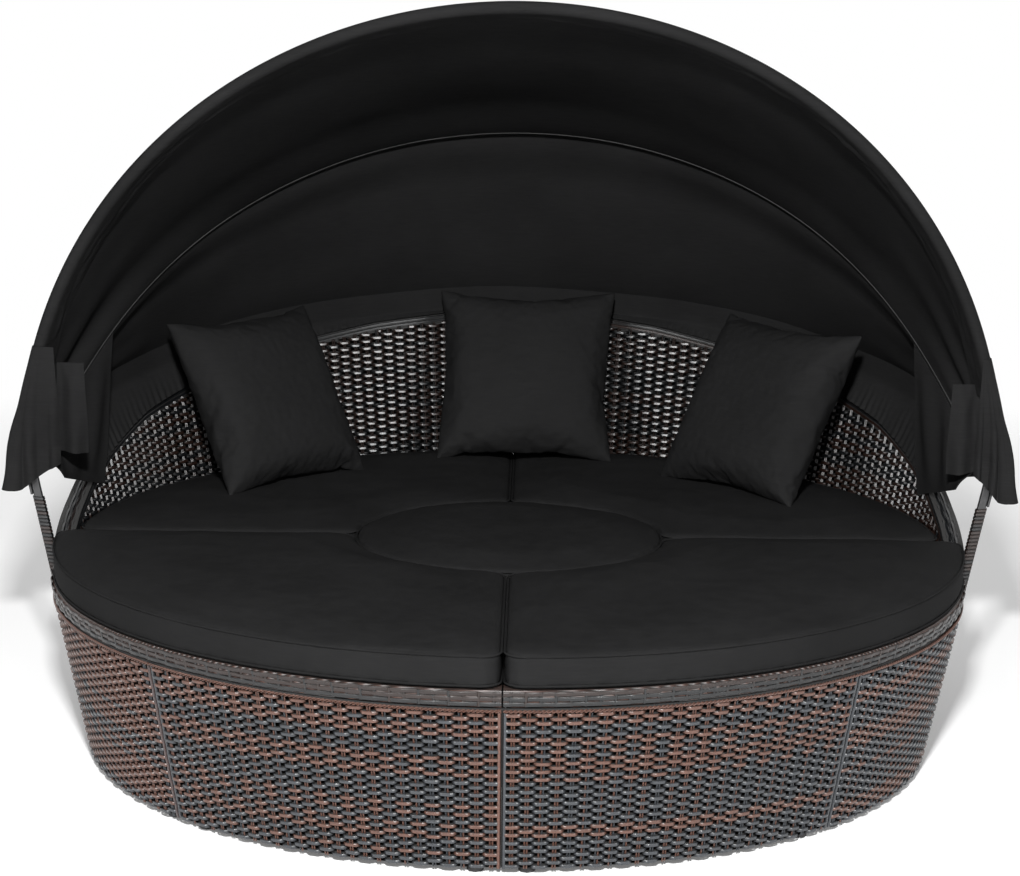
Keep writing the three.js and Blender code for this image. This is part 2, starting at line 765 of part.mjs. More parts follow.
// The front cloth turns round the front hoop and ends in a hem band inside it.
function frontCloth() {
  return clothSolid((angle) => {
    const { front, middle, seam } = hoopsAt(angle);
    const { pull, out } = tightOut(front, middle.point);
    const start = front.point.clone().addScaledVector(out, clothSeat);
    const last = seam.clone().addScaledVector(pull, -clothClearance);
    const room = start.distanceTo(last);
    const around = [5, 4, 3, 2, 1, 0].map((eighths) => {
      const turn = eighths * eighthAngle * hemTurnShare * degrees;
      return front.point.clone().addScaledVector(out, clothSeat * Math.cos(turn))
        .addScaledVector(pull, -clothSeat * Math.sin(turn));
    });
    const hem = front.point.clone().addScaledVector(pull, Math.min(hemDepth, room / 2))
      .addScaledVector(out, -clothSeat);
    const span = spanLine(start, last, Math.min(clothSag, room / hoopTube), out);
    return { line: [hem, ...around, ...span, last], along: front.along };
  });
}

function rearCloth() {
  return clothSolid((angle) => {
    const { middle, rear, seam } = hoopsAt(angle);
    const { pull, out } = tightOut(middle, rear.point);
    const first = seam.clone().addScaledVector(pull, clothClearance);
    const end = rear.point.clone().addScaledVector(out, clothSeat);
    const span = spanLine(first, end, Math.min(clothSag, first.distanceTo(end) / hoopTube), out);
    return { line: [first, ...span, end], along: middle.along };
  });
}

// The pleated skirt is sewn to the end of the rear cloth and hangs outside the back.
function rearSkirt() {
  const rings = [];
  const steps = (hoopSteps - 2 * skirtStartStep) * skirtStepsPerPleat;
  for (let i = 0; i <= steps; i += 1) {
    const { middle, rear } = hoopsAt(hoopAngle(skirtStartStep + i / skirtStepsPerPleat));
    const { pull, out } = tightOut(middle, rear.point);
    const start = rear.point.clone().addScaledVector(out, clothSeat);
    const place = Math.atan2(rear.point.y, rear.point.x) / degrees;
    const wallTop = backTop(place - quarterAngle);
    const fold = i % 2 === 0 ? 0 : skirtPleat;
    const low = wallTop - skirtDrop;
    const hoopReach = Math.hypot(rear.point.x, rear.point.y) + clothSeat;
    const over = Math.max(hoopReach, shellRadius(wallTop) + skirtStand);
    rings.push(thickStrip([
      start.clone().addScaledVector(pull, skirtSeam),
      start.clone().addScaledVector(pull, skirtSeam + clothThickness),
      onRound(over + fold / 2, place, (rear.point.z + wallTop) / 2 - skirtStand),
      onRound(shellRadius(low) + skirtStand + fold, place, low),
    ], rear.along));
  }
  return loft(rings);
}

// A wavy sheet that hangs between two heights; placeAt gives the line it hangs on.
function hangingSheet(placeAt, size) {
  const count = size.folds * 2;
  const rings = [];
  for (let row = 0; row <= size.steps; row += 1) {
    const share = row / size.steps;
    const height = THREE.MathUtils.lerp(pivotHeight + size.rise, pivotHeight - size.drop, share);
    const front = [];
    const back = [];
    for (let i = 0; i <= count; i += 1) {
      const wave = (i % 2 === 0 ? -1 : 1) * size.fold * THREE.MathUtils.lerp(flapTopFoldShare, 1, share);
      const { place, out } = placeAt(i / count, share);
      place.setZ(height);
      front.push(place.clone().addScaledVector(out, wave + clothThickness / 2));
      back.push(place.clone().addScaledVector(out, wave - clothThickness / 2));
    }
    rings.push([...front, ...back.reverse()]);
  }
  return loft(rings);
}

// Where the front hoop's leg crosses a height, on the right (1) or on the left (-1) seen mirrored.
function legPlace(height, hand) {
  const rise = (height - pivotHeight) / Math.cos(hoops.front.lean * degrees);
  const angle = Math.asin(Math.max(rise, 0) / hoops.front.reach);
  const leg = hoopPoint(hoops.front, hand > 0 ? angle : 2 * quarterAngle * degrees - angle);
  return leg.setX(hand * leg.x);
}

// The loose corner of the front cloth hangs as a flounce before the post and round its outside.
function sideFlap(hand) {
  const nearest = flapSeat + flap.fold * flapTopFoldShare;
  const clearOfBolt = headFace + pivotHead.height + flap.fold - nearest;
  return hangingSheet((across, down) => {
    const height = THREE.MathUtils.lerp(pivotHeight + flap.rise, pivotHeight - flap.drop, down);
    const leg = legPlace(Math.max(height, pivotHeight), hand);
    const round = Math.max(across - flapInnerShare, 0) / (1 - flapInnerShare);
    const out = onRound(1, THREE.MathUtils.lerp(-quarterAngle, eighthAngle, round), 0);
    const spread = nearest + (flap.spread + flap.fold * (1 - round)) * down;
    const clear = THREE.MathUtils.lerp(leg.x, Math.max(leg.x, clearOfBolt), Math.min(2 * down, 1));
    const place = new THREE.Vector3(clear, leg.y, 0).addScaledVector(out, spread);
    const inner = flap.inner * THREE.MathUtils.lerp(flapTopInnerShare, 1, down);
    place.x -= inner * Math.max(1 - across / flapInnerShare, 0);
    place.y -= (flap.width / 2) * down * (1 / 2 - round) * round;
    return { place, out };
  }, flap);
}

// Cushions

// The outline of a ring quarter with rounded corners, taken in by an inset all round.
function quarterOutline(inner, outer, inset) {
  const points = [];
  const corner = (radius, grow, side, first, last) => {
    for (let i = 0; i <= cushionCornerSteps; i += 1) {
      const turn = THREE.MathUtils.lerp(first, last, i / cushionCornerSteps) * degrees;
      const distance = radius + grow * cushionCorner * (1 - Math.sin(turn));
      const lateral = cushionGap / 2 + inset + cushionCorner * (1 - Math.cos(turn));
      const angle = Math.asin(lateral / distance) / degrees;
      points.push([distance, side === 0 ? angle : quarterAngle - angle]);
    }
  };
  const arc = (radius, from, to, steps) => {
    for (let i = 1; i < steps; i += 1) {
      points.push([radius, THREE.MathUtils.lerp(from, to, i / steps)]);
    }
  };
  const [near, far] = [inner + inset, outer - inset];
  corner(far, -1, 0, 0, quarterAngle);
  const outerEnd = points[points.length - 1][1];
  arc(far, outerEnd, quarterAngle - outerEnd, stepsPerEighth);
  corner(far, -1, 1, quarterAngle, 0);
  corner(near, 1, 1, 0, quarterAngle);
  const innerEnd = quarterAngle - points[points.length - 1][1];
  arc(near, quarterAngle - innerEnd, innerEnd, stepsPerEighth);
  corner(near, 1, 0, quarterAngle, 0);
  return points;
}

function seatCushion(from, outer) {
  return loft(cushionInsets.map((inset, i) => {
    const height = cushionBottom + cushionThickness * cushionHeightShares[i];
    return quarterOutline(centreCushionRadius, outer, inset).map(([radius, angle]) =>
      onRound(radius, from + angle, height));
  }));
}

function centreCushion() {
  const steps = stepsPerEighth * 4;
  return loft(cushionInsets.map((inset, i) => {
    const ring = [];
    for (let step = 0; step < steps; step += 1) {
      ring.push(onRound(centreCushionRadius - inset, (step / steps) * 4 * quarterAngle,
        cushionBottom + cushionThickness * cushionHeightShares[i]));
    }
    return ring;
  }));
}

// One outline of a pillow: full size it has corner ears and drawn-in sides, further in it rounds.
function pillowRing(share, height) {
  const half = pillow.size / 2;
  const ring = [];
  for (let side = 0; side < 4; side += 1) {
    const out = onRound(1, side * quarterAngle, 0);
    const along = onRound(1, (side + 1) * quarterAngle, 0);
    for (let i = 0; i < pillow.sidePoints; i += 1) {
      const t = (2 * i) / pillow.sidePoints - 1;
      const ears = pillow.pull * (1 - t * t) * share ** 2;
      const soft = 1 - ((1 - share) / 3) * t ** 2;
      ring.push(new THREE.Vector3()
        .addScaledVector(out, (half * share - ears) * soft)
        .addScaledVector(along, half * share * t * soft)
        .setZ(height));
    }
  }
  return ring;
}

function pillowSolid() {
  const half = pillow.thickness / 2;
  const rings = pillowRingShares.map((share, i) => pillowRing(share, half * pillowLoftShares[i]));
  const under = pillowRingShares.map((share, i) => pillowRing(share, -half * pillowLoftShares[i])).reverse();
  return loft([...under, ...rings]);
}

// Lift table

function ringSolid(inner, outer, low, high, steps) {
  const rings = [];
  for (let i = 0; i < steps; i += 1) {
    const angle = (i / steps) * 4 * quarterAngle;
    rings.push([[inner, low], [outer, low], [outer, high], [inner, high]].map(([radius, height]) =>
      onRound(radius, angle, height)));
  }
  return loft(rings, true);
}

function tableTop() {
  const low = seatHeight - tableThickness;
  return new THREE.LatheGeometry([
    new THREE.Vector2(0, low),
    new THREE.Vector2(tableRadius - tableEdgeRound, low),
    new THREE.Vector2(tableRadius, low + tableEdgeRound),
    new THREE.Vector2(tableRadius, seatHeight - tableEdgeRound),
    new THREE.Vector2(tableRadius - tableEdgeRound, seatHeight),
    new THREE.Vector2(0, seatHeight),
  ], tableSteps).rotateX(quarterAngle * degrees);
}

const legAngles = [eighthAngle, 3 * eighthAngle, 5 * eighthAngle, 7 * eighthAngle];
const tableFrameTop = seatHeight - tableThickness - fitGap;

function tableFrame() {
  const low = tableFrameTop - frameTube;
  const { radius, width } = tableRing;
  const pieces = [ringSolid(radius - width, radius, low, tableFrameTop, tableSteps)];
  [0, 2].forEach((arm) => {
    const reach = radius - width / 2;
    const bar = box(
      new THREE.Vector3(-reach, -frameTube / 2, low),
      new THREE.Vector3(reach, frameTube / 2, tableFrameTop),
    );
    pieces.push(bar.rotateZ(legAngles[arm / 2] * degrees));
  });
  legAngles.forEach((angle) => {
    const foot = tableBase.height + fitGap;
    const head = tableFrameTop - frameTube / 2;
    const centre = onRound(tableLegCircle, angle, (head + foot) / 2);
    pieces.push(disc(tableLegRadius, head - foot, roundSides, centre));
  });
  return fuse(pieces);
}

// Four sleeves on a crossed floor frame with a foot at the centre.
function tableStand() {
  const pieces = [];
  const floorHeight = 0;
  legAngles.slice(0, 2).forEach((angle) => {
    const reach = tableLegCircle + sleeveRadius;
    const bar = box(
      new THREE.Vector3(-reach, -tableBase.width / 2, floorHeight),
      new THREE.Vector3(reach, tableBase.width / 2, tableBase.height),
    );
    pieces.push(bar.rotateZ(angle * degrees));
  });
  const sleeves = legAngles.map((angle) => disc(sleeveRadius, sleeveHeight - tableBase.height / 2, roundSides,
    onRound(tableLegCircle, angle, (sleeveHeight + tableBase.height / 2) / 2)));
  const bores = legAngles.map((angle) => disc(sleeveBore, sleeveHeight, roundSides,
    onRound(tableLegCircle, angle, sleeveHeight / 2 + tableBase.height)));
  return drill(fuse([...pieces, ...sleeves]), bores);
}

function clampKnob(angle) {
  const start = sleeveRadius + fitGap;
  const gripStart = start + lockKnob.stemLength;
  const gripEnd = gripStart + lockKnob.length;
  const stem = crossPin(lockKnob.stem, start, gripEnd, roundSides / 2, 0, 0);
  const grip = crossPin(lockKnob.radius, gripStart, gripEnd, roundSides, 0, 0);
  return fuse([stem, grip]).rotateZ(2 * quarterAngle * degrees)
    .translate(tableLegCircle, 0, sleeveHeight - lockKnob.drop)
    .rotateZ(angle * degrees);
}

// The daybed

const finishes = {
  weave: { color: 0x4a3c36, roughness: 0.45, metalness: 0 },
  steel: { color: 0x17181a, roughness: 0.45, metalness: 0.6 },
  cloth: { color: 0x1b1b1d, roughness: 0.85, metalness: 0 },
  cushion: { color: 0x1a1b1c, roughness: 0.75, metalness: 0 },
  plastic: { color: 0x101112, roughness: 0.6, metalness: 0 },
  zinc: { color: 0x9a9c9e, roughness: 0.35, metalness: 0.9 },
};

function piece(name, geometry, finish) {
  const mesh = new THREE.Mesh(geometry, new THREE.MeshStandardMaterial(finishes[finish]));
  mesh.name = name;
  return mesh;
}

function sidePair(name, geometry, finish) {
  const right = piece(`${name}_right`, geometry, finish);
  return [right, piece(`${name}_left`, mirrored(toIndexed(geometry)), finish)];
}

function base() {
  const group = new THREE.Group();
  const panelNames = [
    'front_right', 'right_front', 'right_rear', 'rear_right',
    'rear_left', 'left_rear', 'left_front', 'front_left',
  ];
  panelNames.forEach((name, i) => {
    group.add(piece(`outer_panel_${name}`, outerPanel(i * eighthAngle - quarterAngle), 'weave'));
  });
  ['front_right', 'rear_right', 'rear_left', 'front_left'].forEach((name, i) => {
    const from = seatSeamAngles[i];
    group.add(piece(`seat_deck_${name}`, seatDeck(from), 'weave'));
    group.add(piece(`seat_frame_${name}`, seatFrame(from), 'steel'));
    group.add(piece(`well_panel_${name}`, innerPanel(from), 'weave'));
  });
  return group;
}

function back() {
  const group = new THREE.Group();
  group.add(...sidePair('back_inner', backSkin(false), 'weave'));
  group.add(...sidePair('back_outer', backSkin(true), 'weave'));
  group.add(...sidePair('back_rail', backRail(), 'weave'));
  group.add(...sidePair('back_frame', backFrame(), 'steel'));
  return group;
}

function canopy() {
  const group = new THREE.Group();
  group.add(...sidePair('canopy_post', canopyPost(), 'steel'));
  group.add(...sidePair('post_wrap', postWrap(), 'weave'));
  group.add(...sidePair('pivot_bracket', pivotBracket(), 'steel'));
  group.add(...sidePair('pivot_bolt', pivotBolt(), 'zinc'));
  group.add(...sidePair('back_brace', backBrace(), 'steel'));
  group.add(piece('hoop_rear', hoopTubeSolid(hoops.rear), 'steel'));
  group.add(piece('hoop_middle', hoopTubeSolid(hoops.middle), 'steel'));
  group.add(piece('hoop_front', hoopTubeSolid(hoops.front), 'steel'));
  group.add(piece('canopy_front_cloth', frontCloth(), 'cloth'));
  group.add(piece('canopy_rear_cloth', rearCloth(), 'cloth'));
  group.add(piece('canopy_skirt', rearSkirt(), 'cloth'));
  group.add(piece('side_flap_right', sideFlap(1), 'cloth'));
  group.add(piece('side_flap_left', mirrored(toIndexed(sideFlap(-1))), 'cloth'));
  return group;
}

function cushions() {
  const group = new THREE.Group();
  ['front_right', 'rear_right', 'rear_left', 'front_left'].forEach((name, i) => {
    const outer = name.startsWith('front') ? frontCushionRadius : rearCushionRadius;
    group.add(piece(`seat_cushion_${name}`, seatCushion(seatSeamAngles[i], outer), 'cushion'));
  });
  group.add(piece('centre_cushion', centreCushion(), 'cushion'));
  return group;
}

// A pillow stands on its lower edge, leans back, and rests on the seat cushions.
function standPillow(name, { turn, inset, lean }) {
  const solid = pillowSolid();
  solid.rotateX((quarterAngle - lean) * degrees);
  solid.computeBoundingBox();
  solid.translate(0, rimRadius - inset - solid.boundingBox.min.y - pillow.thickness / 2,
    cushionTop + fitGap - solid.boundingBox.min.z);
  const mesh = piece(`pillow_${name}`, solid, 'cushion');
  mesh.rotation.z = turn * degrees;
  return mesh;
}

function pillows() {
  const group = new THREE.Group();
  Object.entries(pillowPlaces).forEach(([name, place]) => group.add(standPillow(name, place)));
  return group;
}

function liftTable() {
  const group = new THREE.Group();
  group.add(piece('table_top', tableTop(), 'weave'));
  group.add(piece('table_frame', tableFrame(), 'steel'));
  group.add(piece('table_stand', tableStand(), 'steel'));
  group.add(piece('lock_knob_rear_right', clampKnob(legAngles[0]), 'plastic'));
  group.add(piece('lock_knob_front_left', clampKnob(legAngles[2]), 'plastic'));
  return group;
}

const daybed = new THREE.Group();
daybed.add(base(), back(), canopy(), cushions(), pillows(), liftTable());

export default daybed;
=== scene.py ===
"""Round woven daybed with a folding canopy: the finished surfaces over the frame."""

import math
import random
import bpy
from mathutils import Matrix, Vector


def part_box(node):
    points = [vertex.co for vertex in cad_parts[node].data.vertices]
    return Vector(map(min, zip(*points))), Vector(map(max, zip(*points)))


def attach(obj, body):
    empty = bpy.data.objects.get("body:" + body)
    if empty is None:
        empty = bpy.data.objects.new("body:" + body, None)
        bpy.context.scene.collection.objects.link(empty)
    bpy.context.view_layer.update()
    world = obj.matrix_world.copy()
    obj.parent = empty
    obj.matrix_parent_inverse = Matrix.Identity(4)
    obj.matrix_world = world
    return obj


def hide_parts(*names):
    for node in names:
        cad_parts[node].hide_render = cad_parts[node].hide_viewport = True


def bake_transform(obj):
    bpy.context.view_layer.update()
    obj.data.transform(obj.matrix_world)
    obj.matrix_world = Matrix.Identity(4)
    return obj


bl_info = {
    "name": "Round Daybed",
    "version": (1, 0, 0),
    "blender": (4, 5, 0),
    "location": "View3D > Sidebar > Daybed",
    "description": "Weaves, upholsters and lights a round daybed with a folding canopy",
    "category": "Add Mesh",
}

import bpy
import numpy as np
from mathutils import Matrix, Vector, noise

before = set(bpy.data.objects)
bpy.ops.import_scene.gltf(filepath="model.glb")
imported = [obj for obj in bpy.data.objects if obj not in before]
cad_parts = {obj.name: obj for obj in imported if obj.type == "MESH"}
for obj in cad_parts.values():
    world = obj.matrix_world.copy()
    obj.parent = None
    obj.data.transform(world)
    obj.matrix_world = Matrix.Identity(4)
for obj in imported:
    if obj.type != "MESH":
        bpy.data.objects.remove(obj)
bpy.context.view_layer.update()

# Sizes in metres and angles in degrees, as the frame has them
FIT_GAP = 0.0003
GLIDE_HEIGHT = 0.012
WALL_FOOT_RADIUS = 0.829
RIM_RADIUS = 0.9
SEAT_HEIGHT = 0.35
RIM_BAND_HEIGHT = 0.029
GROOVE_HEIGHT = 0.004
PANEL_TOP = SEAT_HEIGHT - RIM_BAND_HEIGHT - GROOVE_HEIGHT
SEAM_GAP = 0.003
CONE_SLOPE = (RIM_RADIUS - WALL_FOOT_RADIUS) / (SEAT_HEIGHT - GLIDE_HEIGHT)
QUARTER = 90.0
EIGHTH = 45.0
FULL_TURN = 360.0

BACK_THICKNESS = 0.038
BACK_RAIL_HEIGHT = 0.02
BACK_END_GAP = 0.012
BACK_RISE = 0.372
BACK_HEIGHT_SHARES = (1, 0.985, 0.94, 0.87, 0.79, 0.69, 0.585, 0.43, 0.25, 0.1)

PIVOT_HEIGHT = 0.553
HOOP_TUBE = 0.019
EYE_LENGTH = 0.058
EYE_BLEND = 0.022
EYE_THICKNESS = 0.003
FLARE_POWER = 4
HOOP_SWAY = 0.012
HOOP_RADIUS = RIM_RADIUS + 0.045
MIDDLE_HOOP_RADIUS = RIM_RADIUS - 0.014
FRONT_LEAN = 15.8
MIDDLE_LEAN = -46.8

UPRIGHT = np.array([0, 0, 1.0])
BACKING_THICKNESS = 0.006
BACK_SEAM_SHARE = 0.98
EDGE_STRAND_THICKNESS = 0.003
EDGE_STRAND_RISE = 0.001
EDGE_WOBBLE = 0.0006
RAIL_STRAND_THICKNESS = 0.002
RIM_STRAND_THICKNESS = 0.0022
RIM_WRAP_WIDTH = 0.006
RIM_WRAP_THICKNESS = 0.0018
RIM_WRAP_LIFTS = (0.0008, 0.0018)
RIM_SWING = (0.0015, 0.0012)
RAIL_SWING = 0.0008
RAIL_CROWN = 0.004
RAIL_INSET = 0.003
RAIL_SIDE_DROP = 0.006
SAME_TONE_CHANCE = 0.45
ROW_CLEAR_SHARE = 0.45
WIDTH_SHARES = (0.94, 1.04)
# Where the painted shade of a diving strand starts and ends, and how much its sides are darkened
SHADED_SWING = -0.9
LIT_SWING = 0.3
EDGE_SHADE_SHARE = 0.55
# How far the back's shaded copy of the strands is darkened, as painted shade
BACK_SHADE_SHARE = 0.14
# Near-black for painted shade: where strands dive, and on the wall behind the weave
PAINTED_SHADE_BLACK = (0.0008, 0.0007, 0.0006, 1)
COVER_THREAD = 0.0007
CANOPY_THREAD = 0.0009

CUSHION_BOTTOM = SEAT_HEIGHT + FIT_GAP
CUSHION_THICKNESS = 0.069
CUSHION_TOP = CUSHION_BOTTOM + CUSHION_THICKNESS
CUSHION_GAP = 0.004
CUSHION_CORNER = 0.036
TOP_DENTS = 0.0035
CROWN_LIMIT = 0.009
HELD_FOOT_SHARE = 0.12
HELD_WELT_SHARE = 0.85
CENTRE_RADIUS = 0.304
FRONT_CUSHION_RADIUS = 0.897
REAR_CUSHION_RADIUS = 0.857

PILLOW_SIZE = 0.40
PILLOW_THICKNESS = 0.15
PILLOW_HEM = 0.002
PILLOW_CELLS = 56
PILLOW_BLANK_THICKNESS = 0.012
PILLOW_FULL_SHARE = 0.96
PILLOW_PLACES = {
    "left": (48.0, 0.660, 30.0),
    "centre": (-2.0, 0.722, 26.0),
    "right": (-50.0, 0.640, 30.0),
}

POST_TUBE = 0.016
POST_STAND_OFF = 0.0022
POST_WRAP_RISE = 0.013
POST_STRAND_THICKNESS = 0.0016

STEEL_NODES = (
    "seat_frame", "back_frame", "canopy_post", "pivot_bracket", "back_brace", "hoop_",
    "table_frame", "table_stand",
)
PANEL_NAMES = (
    "front_right", "right_front", "right_rear", "rear_right",
    "rear_left", "left_rear", "left_front", "front_left",
)
QUARTER_NAMES = ("front_right", "rear_right", "rear_left", "front_left")
SIDES = {"right": 1, "left": -1}


def shell_radius(height):
    """Radius of the woven cone's face at a height."""
    return WALL_FOOT_RADIUS + (height - GLIDE_HEIGHT) * CONE_SLOPE


def back_top(from_rear):
    """Height of the back's rail at an angle from straight behind."""
    shares = np.linspace(0, QUARTER, len(BACK_HEIGHT_SHARES))
    return SEAT_HEIGHT + BACK_RISE * np.interp(np.abs(from_rear), shares, BACK_HEIGHT_SHARES)


def on_round(radius, angle, height):
    """Points on a circle about the upright axis, for single values or arrays."""
    turn = np.radians(angle)
    return np.stack(np.broadcast_arrays(radius * np.cos(turn), radius * np.sin(turn), height), -1)


def cone_ways(angles):
    """The ways out of the cone's face and up along it."""
    radial = on_round(1.0, angles, 0.0)
    tilt, rise = np.array([CONE_SLOPE, 1.0]) / math.hypot(CONE_SLOPE, 1.0)
    return radial * rise - np.array([0, 0, tilt]), radial * tilt + np.array([0, 0, rise])


# Materials


class Wire:
    """A socket that takes part in sums, each of which adds its Math node."""

    def __init__(self, nodes, socket):
        self.nodes = nodes
        self.socket = socket

    def _math(self, operation, *values):
        return self.nodes.add("ShaderNodeMath", {"operation": operation}, list(values))

    def __add__(self, other):
        return self._math("ADD", self, other)

    def __radd__(self, other):
        return self._math("ADD", other, self)

    def __sub__(self, other):
        return self._math("SUBTRACT", self, other)

    def __mul__(self, other):
        return self._math("MULTIPLY", self, other)

    def __pow__(self, other):
        return self._math("POWER", self, other)

    def wave(self):
        return self._math("SINE", self)

    def most(self, other):
        return self._math("MAXIMUM", self, other)

    def cut(self, low, high):
        return self.nodes.add(
            "ShaderNodeMapRange",
            {"clamp": True},
            {"Value": self, "From Min": low, "From Max": high},
        )


class Nodes:
    """The node tree of a material or a world."""

    def __init__(self, owner):
        self.owner = owner
        owner.use_nodes = True
        self.tree = owner.node_tree
        self.tree.nodes.clear()

    def add(self, kind, settings=None, inputs=None, output=0):
        """A new node, its inputs set by name, or by number where they come as a list."""
        node = self.tree.nodes.new(kind)
        for key, value in (settings or {}).items():
            setattr(node, key, value)
        pairs = enumerate(inputs) if isinstance(inputs, list) else (inputs or {}).items()
        for key, value in pairs:
            if isinstance(value, Wire):
                self.tree.links.new(value.socket, node.inputs[key])
            else:
                node.inputs[key].default_value = value
        return Wire(self, node.outputs[output]) if node.outputs else None

    def attribute(self, name):
        return self.add("ShaderNodeAttribute", {"attribute_name": name}, output="Fac")

    def place(self):
        return self.add("ShaderNodeTexCoord", output="Object")

    def axes(self, vector):
        split = self.add("ShaderNodeSeparateXYZ", inputs=[vector]).socket.node
        return [Wire(self, output) for output in split.outputs]

    def noise(self, vector, scale, detail=2.0, rough=0.5):
        return self.add(
            "ShaderNodeTexNoise",
            inputs={"Vector": vector, "Scale": scale, "Detail": detail, "Roughness": rough},
        )

    def mix(self, factor, first, second):
        """A mix of two colours, which sit on the node's inputs 6 and 7 and its output 2."""
        inputs = {0: factor, 6: first, 7: second}
        return self.add("ShaderNodeMix", {"data_type": "RGBA"}, inputs, 2)

    def stretched(self, vector, scale):
        return self.add("ShaderNodeMapping", inputs={"Vector": vector, "Scale": scale})

    def bump(self, height, distance, strength=1.0):
        return self.add(
            "ShaderNodeBump",
            inputs={"Height": height, "Distance": distance, "Strength": strength},
        )

    def shader(self, inputs):
        return self.add("ShaderNodeBsdfPrincipled", inputs=inputs)

    def finish(self, shader):
        self.add("ShaderNodeOutputMaterial", inputs={"Surface": shader})
        return self.owner

    def finish_mixed(self, factor, first, second):
        return self.finish(self.add("ShaderNodeMixShader", inputs=[factor, first, second]))


def rgba(colour):
    return (*tuple(colour)[:3], 1.0)


def strand_material(name, copper_colours, slate_colours, gloss):
    """Flat resin strands: copper or slate, streaked along their length, painted black and dull
    where they dive and along their sides, as painted shade.
    """
    nodes = Nodes(bpy.data.materials.new(name))
    tone = nodes.attribute("tone")
    run = nodes.attribute("run")
    place = nodes.place()
    patch = nodes.noise(place, 9.0, 3.0)
    fleck = nodes.noise(nodes.stretched(place, (60.0, 60.0, 420.0)), 1.0, 3.0, 0.65)
    warm = (tone + (patch - 0.5) * 0.35).cut(0.36, 0.64)
    copper = nodes.mix(fleck, *map(rgba, copper_colours))
    slate = nodes.mix(fleck, *map(rgba, slate_colours))
    colour = nodes.mix(warm, slate, copper)
    grooves = (run * 2600.0).wave() * 0.15 + fleck
    strand = nodes.shader({
        "Base Color": colour,
        "Roughness": gloss + fleck * 0.14,
        "Specular IOR Level": 0.6,
        "Normal": nodes.bump(grooves, 0.0004, 0.5),
    })
    # Painted shade: a black, dull face that the light attribute mixes in where a strand dives and
    # at its sides
    depth = nodes.shader({
        "Base Color": PAINTED_SHADE_BLACK,
        "Roughness": 0.9,
        "Specular IOR Level": 0.0,
    })
    return nodes.finish_mixed(nodes.attribute("light"), depth, strand)


def backing_material(name):
    """A near-black wall behind the strands: painted shade of the hollow inside."""
    nodes = Nodes(bpy.data.materials.new(name))
    speck = nodes.noise(nodes.place(), 300.0)
    return nodes.finish(nodes.shader({
        "Base Color": nodes.mix(speck, PAINTED_SHADE_BLACK, (0.003, 0.0025, 0.002, 1)),
        "Roughness": 0.75 + speck * 0.2,
        "Normal": nodes.bump(speck, 0.001),
    }))


def flat_weave_material(name, settings):
    """Woven skins that the cushions cover: the same weave, drawn in the surface, with painted shade
    along the gaps between rows.
    """
    nodes = Nodes(bpy.data.materials.new(name))
    x, y, z = nodes.axes(nodes.place())
    across = (x * (math.pi / settings.stake_pitch)).wave()
    along = (y * (math.pi / settings.row_pitch)).wave()
    up = (z * (math.pi / settings.row_pitch)).wave()
    weave = (across * along).cut(-0.9, 0.9)
    rows = (along * along) * 0.6 + (up * up) * 0.4
    fleck = nodes.noise(nodes.stretched(nodes.place(), (40.0, 220.0, 220.0)), 1.0, 3.0)
    colour = nodes.mix(fleck, rgba(settings.slate_dark), rgba(settings.copper))
    return nodes.finish(nodes.shader({
        # Painted shade: near-black where rows is low, along the gaps between rows
        "Base Color": nodes.mix(rows, (0.006, 0.005, 0.004, 1), colour),
        "Roughness": 0.4 + fleck * 0.2,
        "Normal": nodes.bump(weave * 0.5 + rows, 0.0022),
    }))


def steel_material(name):
    """Black powder coat with its fine orange-peel grain."""
    nodes = Nodes(bpy.data.materials.new(name))
    grain = nodes.noise(nodes.place(), 900.0, 2.0)
    wear = nodes.noise(nodes.place(), 14.0, 4.0)
    return nodes.finish(nodes.shader({
        "Base Color": nodes.mix(wear, (0.009, 0.009, 0.010, 1), (0.020, 0.020, 0.021, 1)),
        "Roughness": 0.36 + wear * 0.18,
        "Metallic": 0.2,
        "Normal": nodes.bump(grain, 0.0003, 0.5),
    }))


def zinc_material(name):
    nodes = Nodes(bpy.data.materials.new(name))
    stain = nodes.noise(nodes.place(), 120.0, 4.0)
    return nodes.finish(nodes.shader({
        "Base Color": nodes.mix(stain, (0.32, 0.32, 0.33, 1), (0.55, 0.55, 0.56, 1)),
        "Roughness": 0.28 + stain * 0.25,
        "Metallic": 1.0,
    }))


def plastic_material(name):
    nodes = Nodes(bpy.data.materials.new(name))
    grain = nodes.noise(nodes.place(), 1400.0, 2.0)
    return nodes.finish(nodes.shader({
        "Base Color": nodes.mix(grain, (0.008, 0.008, 0.008, 1), (0.014, 0.014, 0.014, 1)),
        "Roughness": 0.5 + grain * 0.15,
        "Normal": nodes.bump(grain, 0.0002, 0.4),
    }))


def cloth_material(name, colour, thread, gloss, shine):
    """Close plain-woven polyester: a fine thread grid, faint slubs and a dull face."""
    nodes = Nodes(bpy.data.materials.new(name))
    place = nodes.place()
    x, y, z = nodes.axes(place)
    pitch = 2 * math.pi / thread
    grid = ((x + z) * pitch).wave() * ((y - z) * pitch).wave()
    slub = nodes.noise(nodes.stretched(place, (30.0, 30.0, 400.0)), 1.0, 3.0, 0.6)
    bloom = nodes.noise(place, 5.0, 3.0)
    base = Vector(tuple(colour)[:3])
    shade = (slub * 0.5 + bloom * 0.5).cut(0.3, 0.7)
    return nodes.finish(nodes.shader({
        "Base Color": nodes.mix(shade, rgba(base * 0.78), rgba(base * 1.25)),
        "Roughness": gloss + bloom * 0.12,
        "Specular IOR Level": shine,
        "Normal": nodes.bump(grid * 0.5 + slub, thread * 0.25, 0.6),
    }))


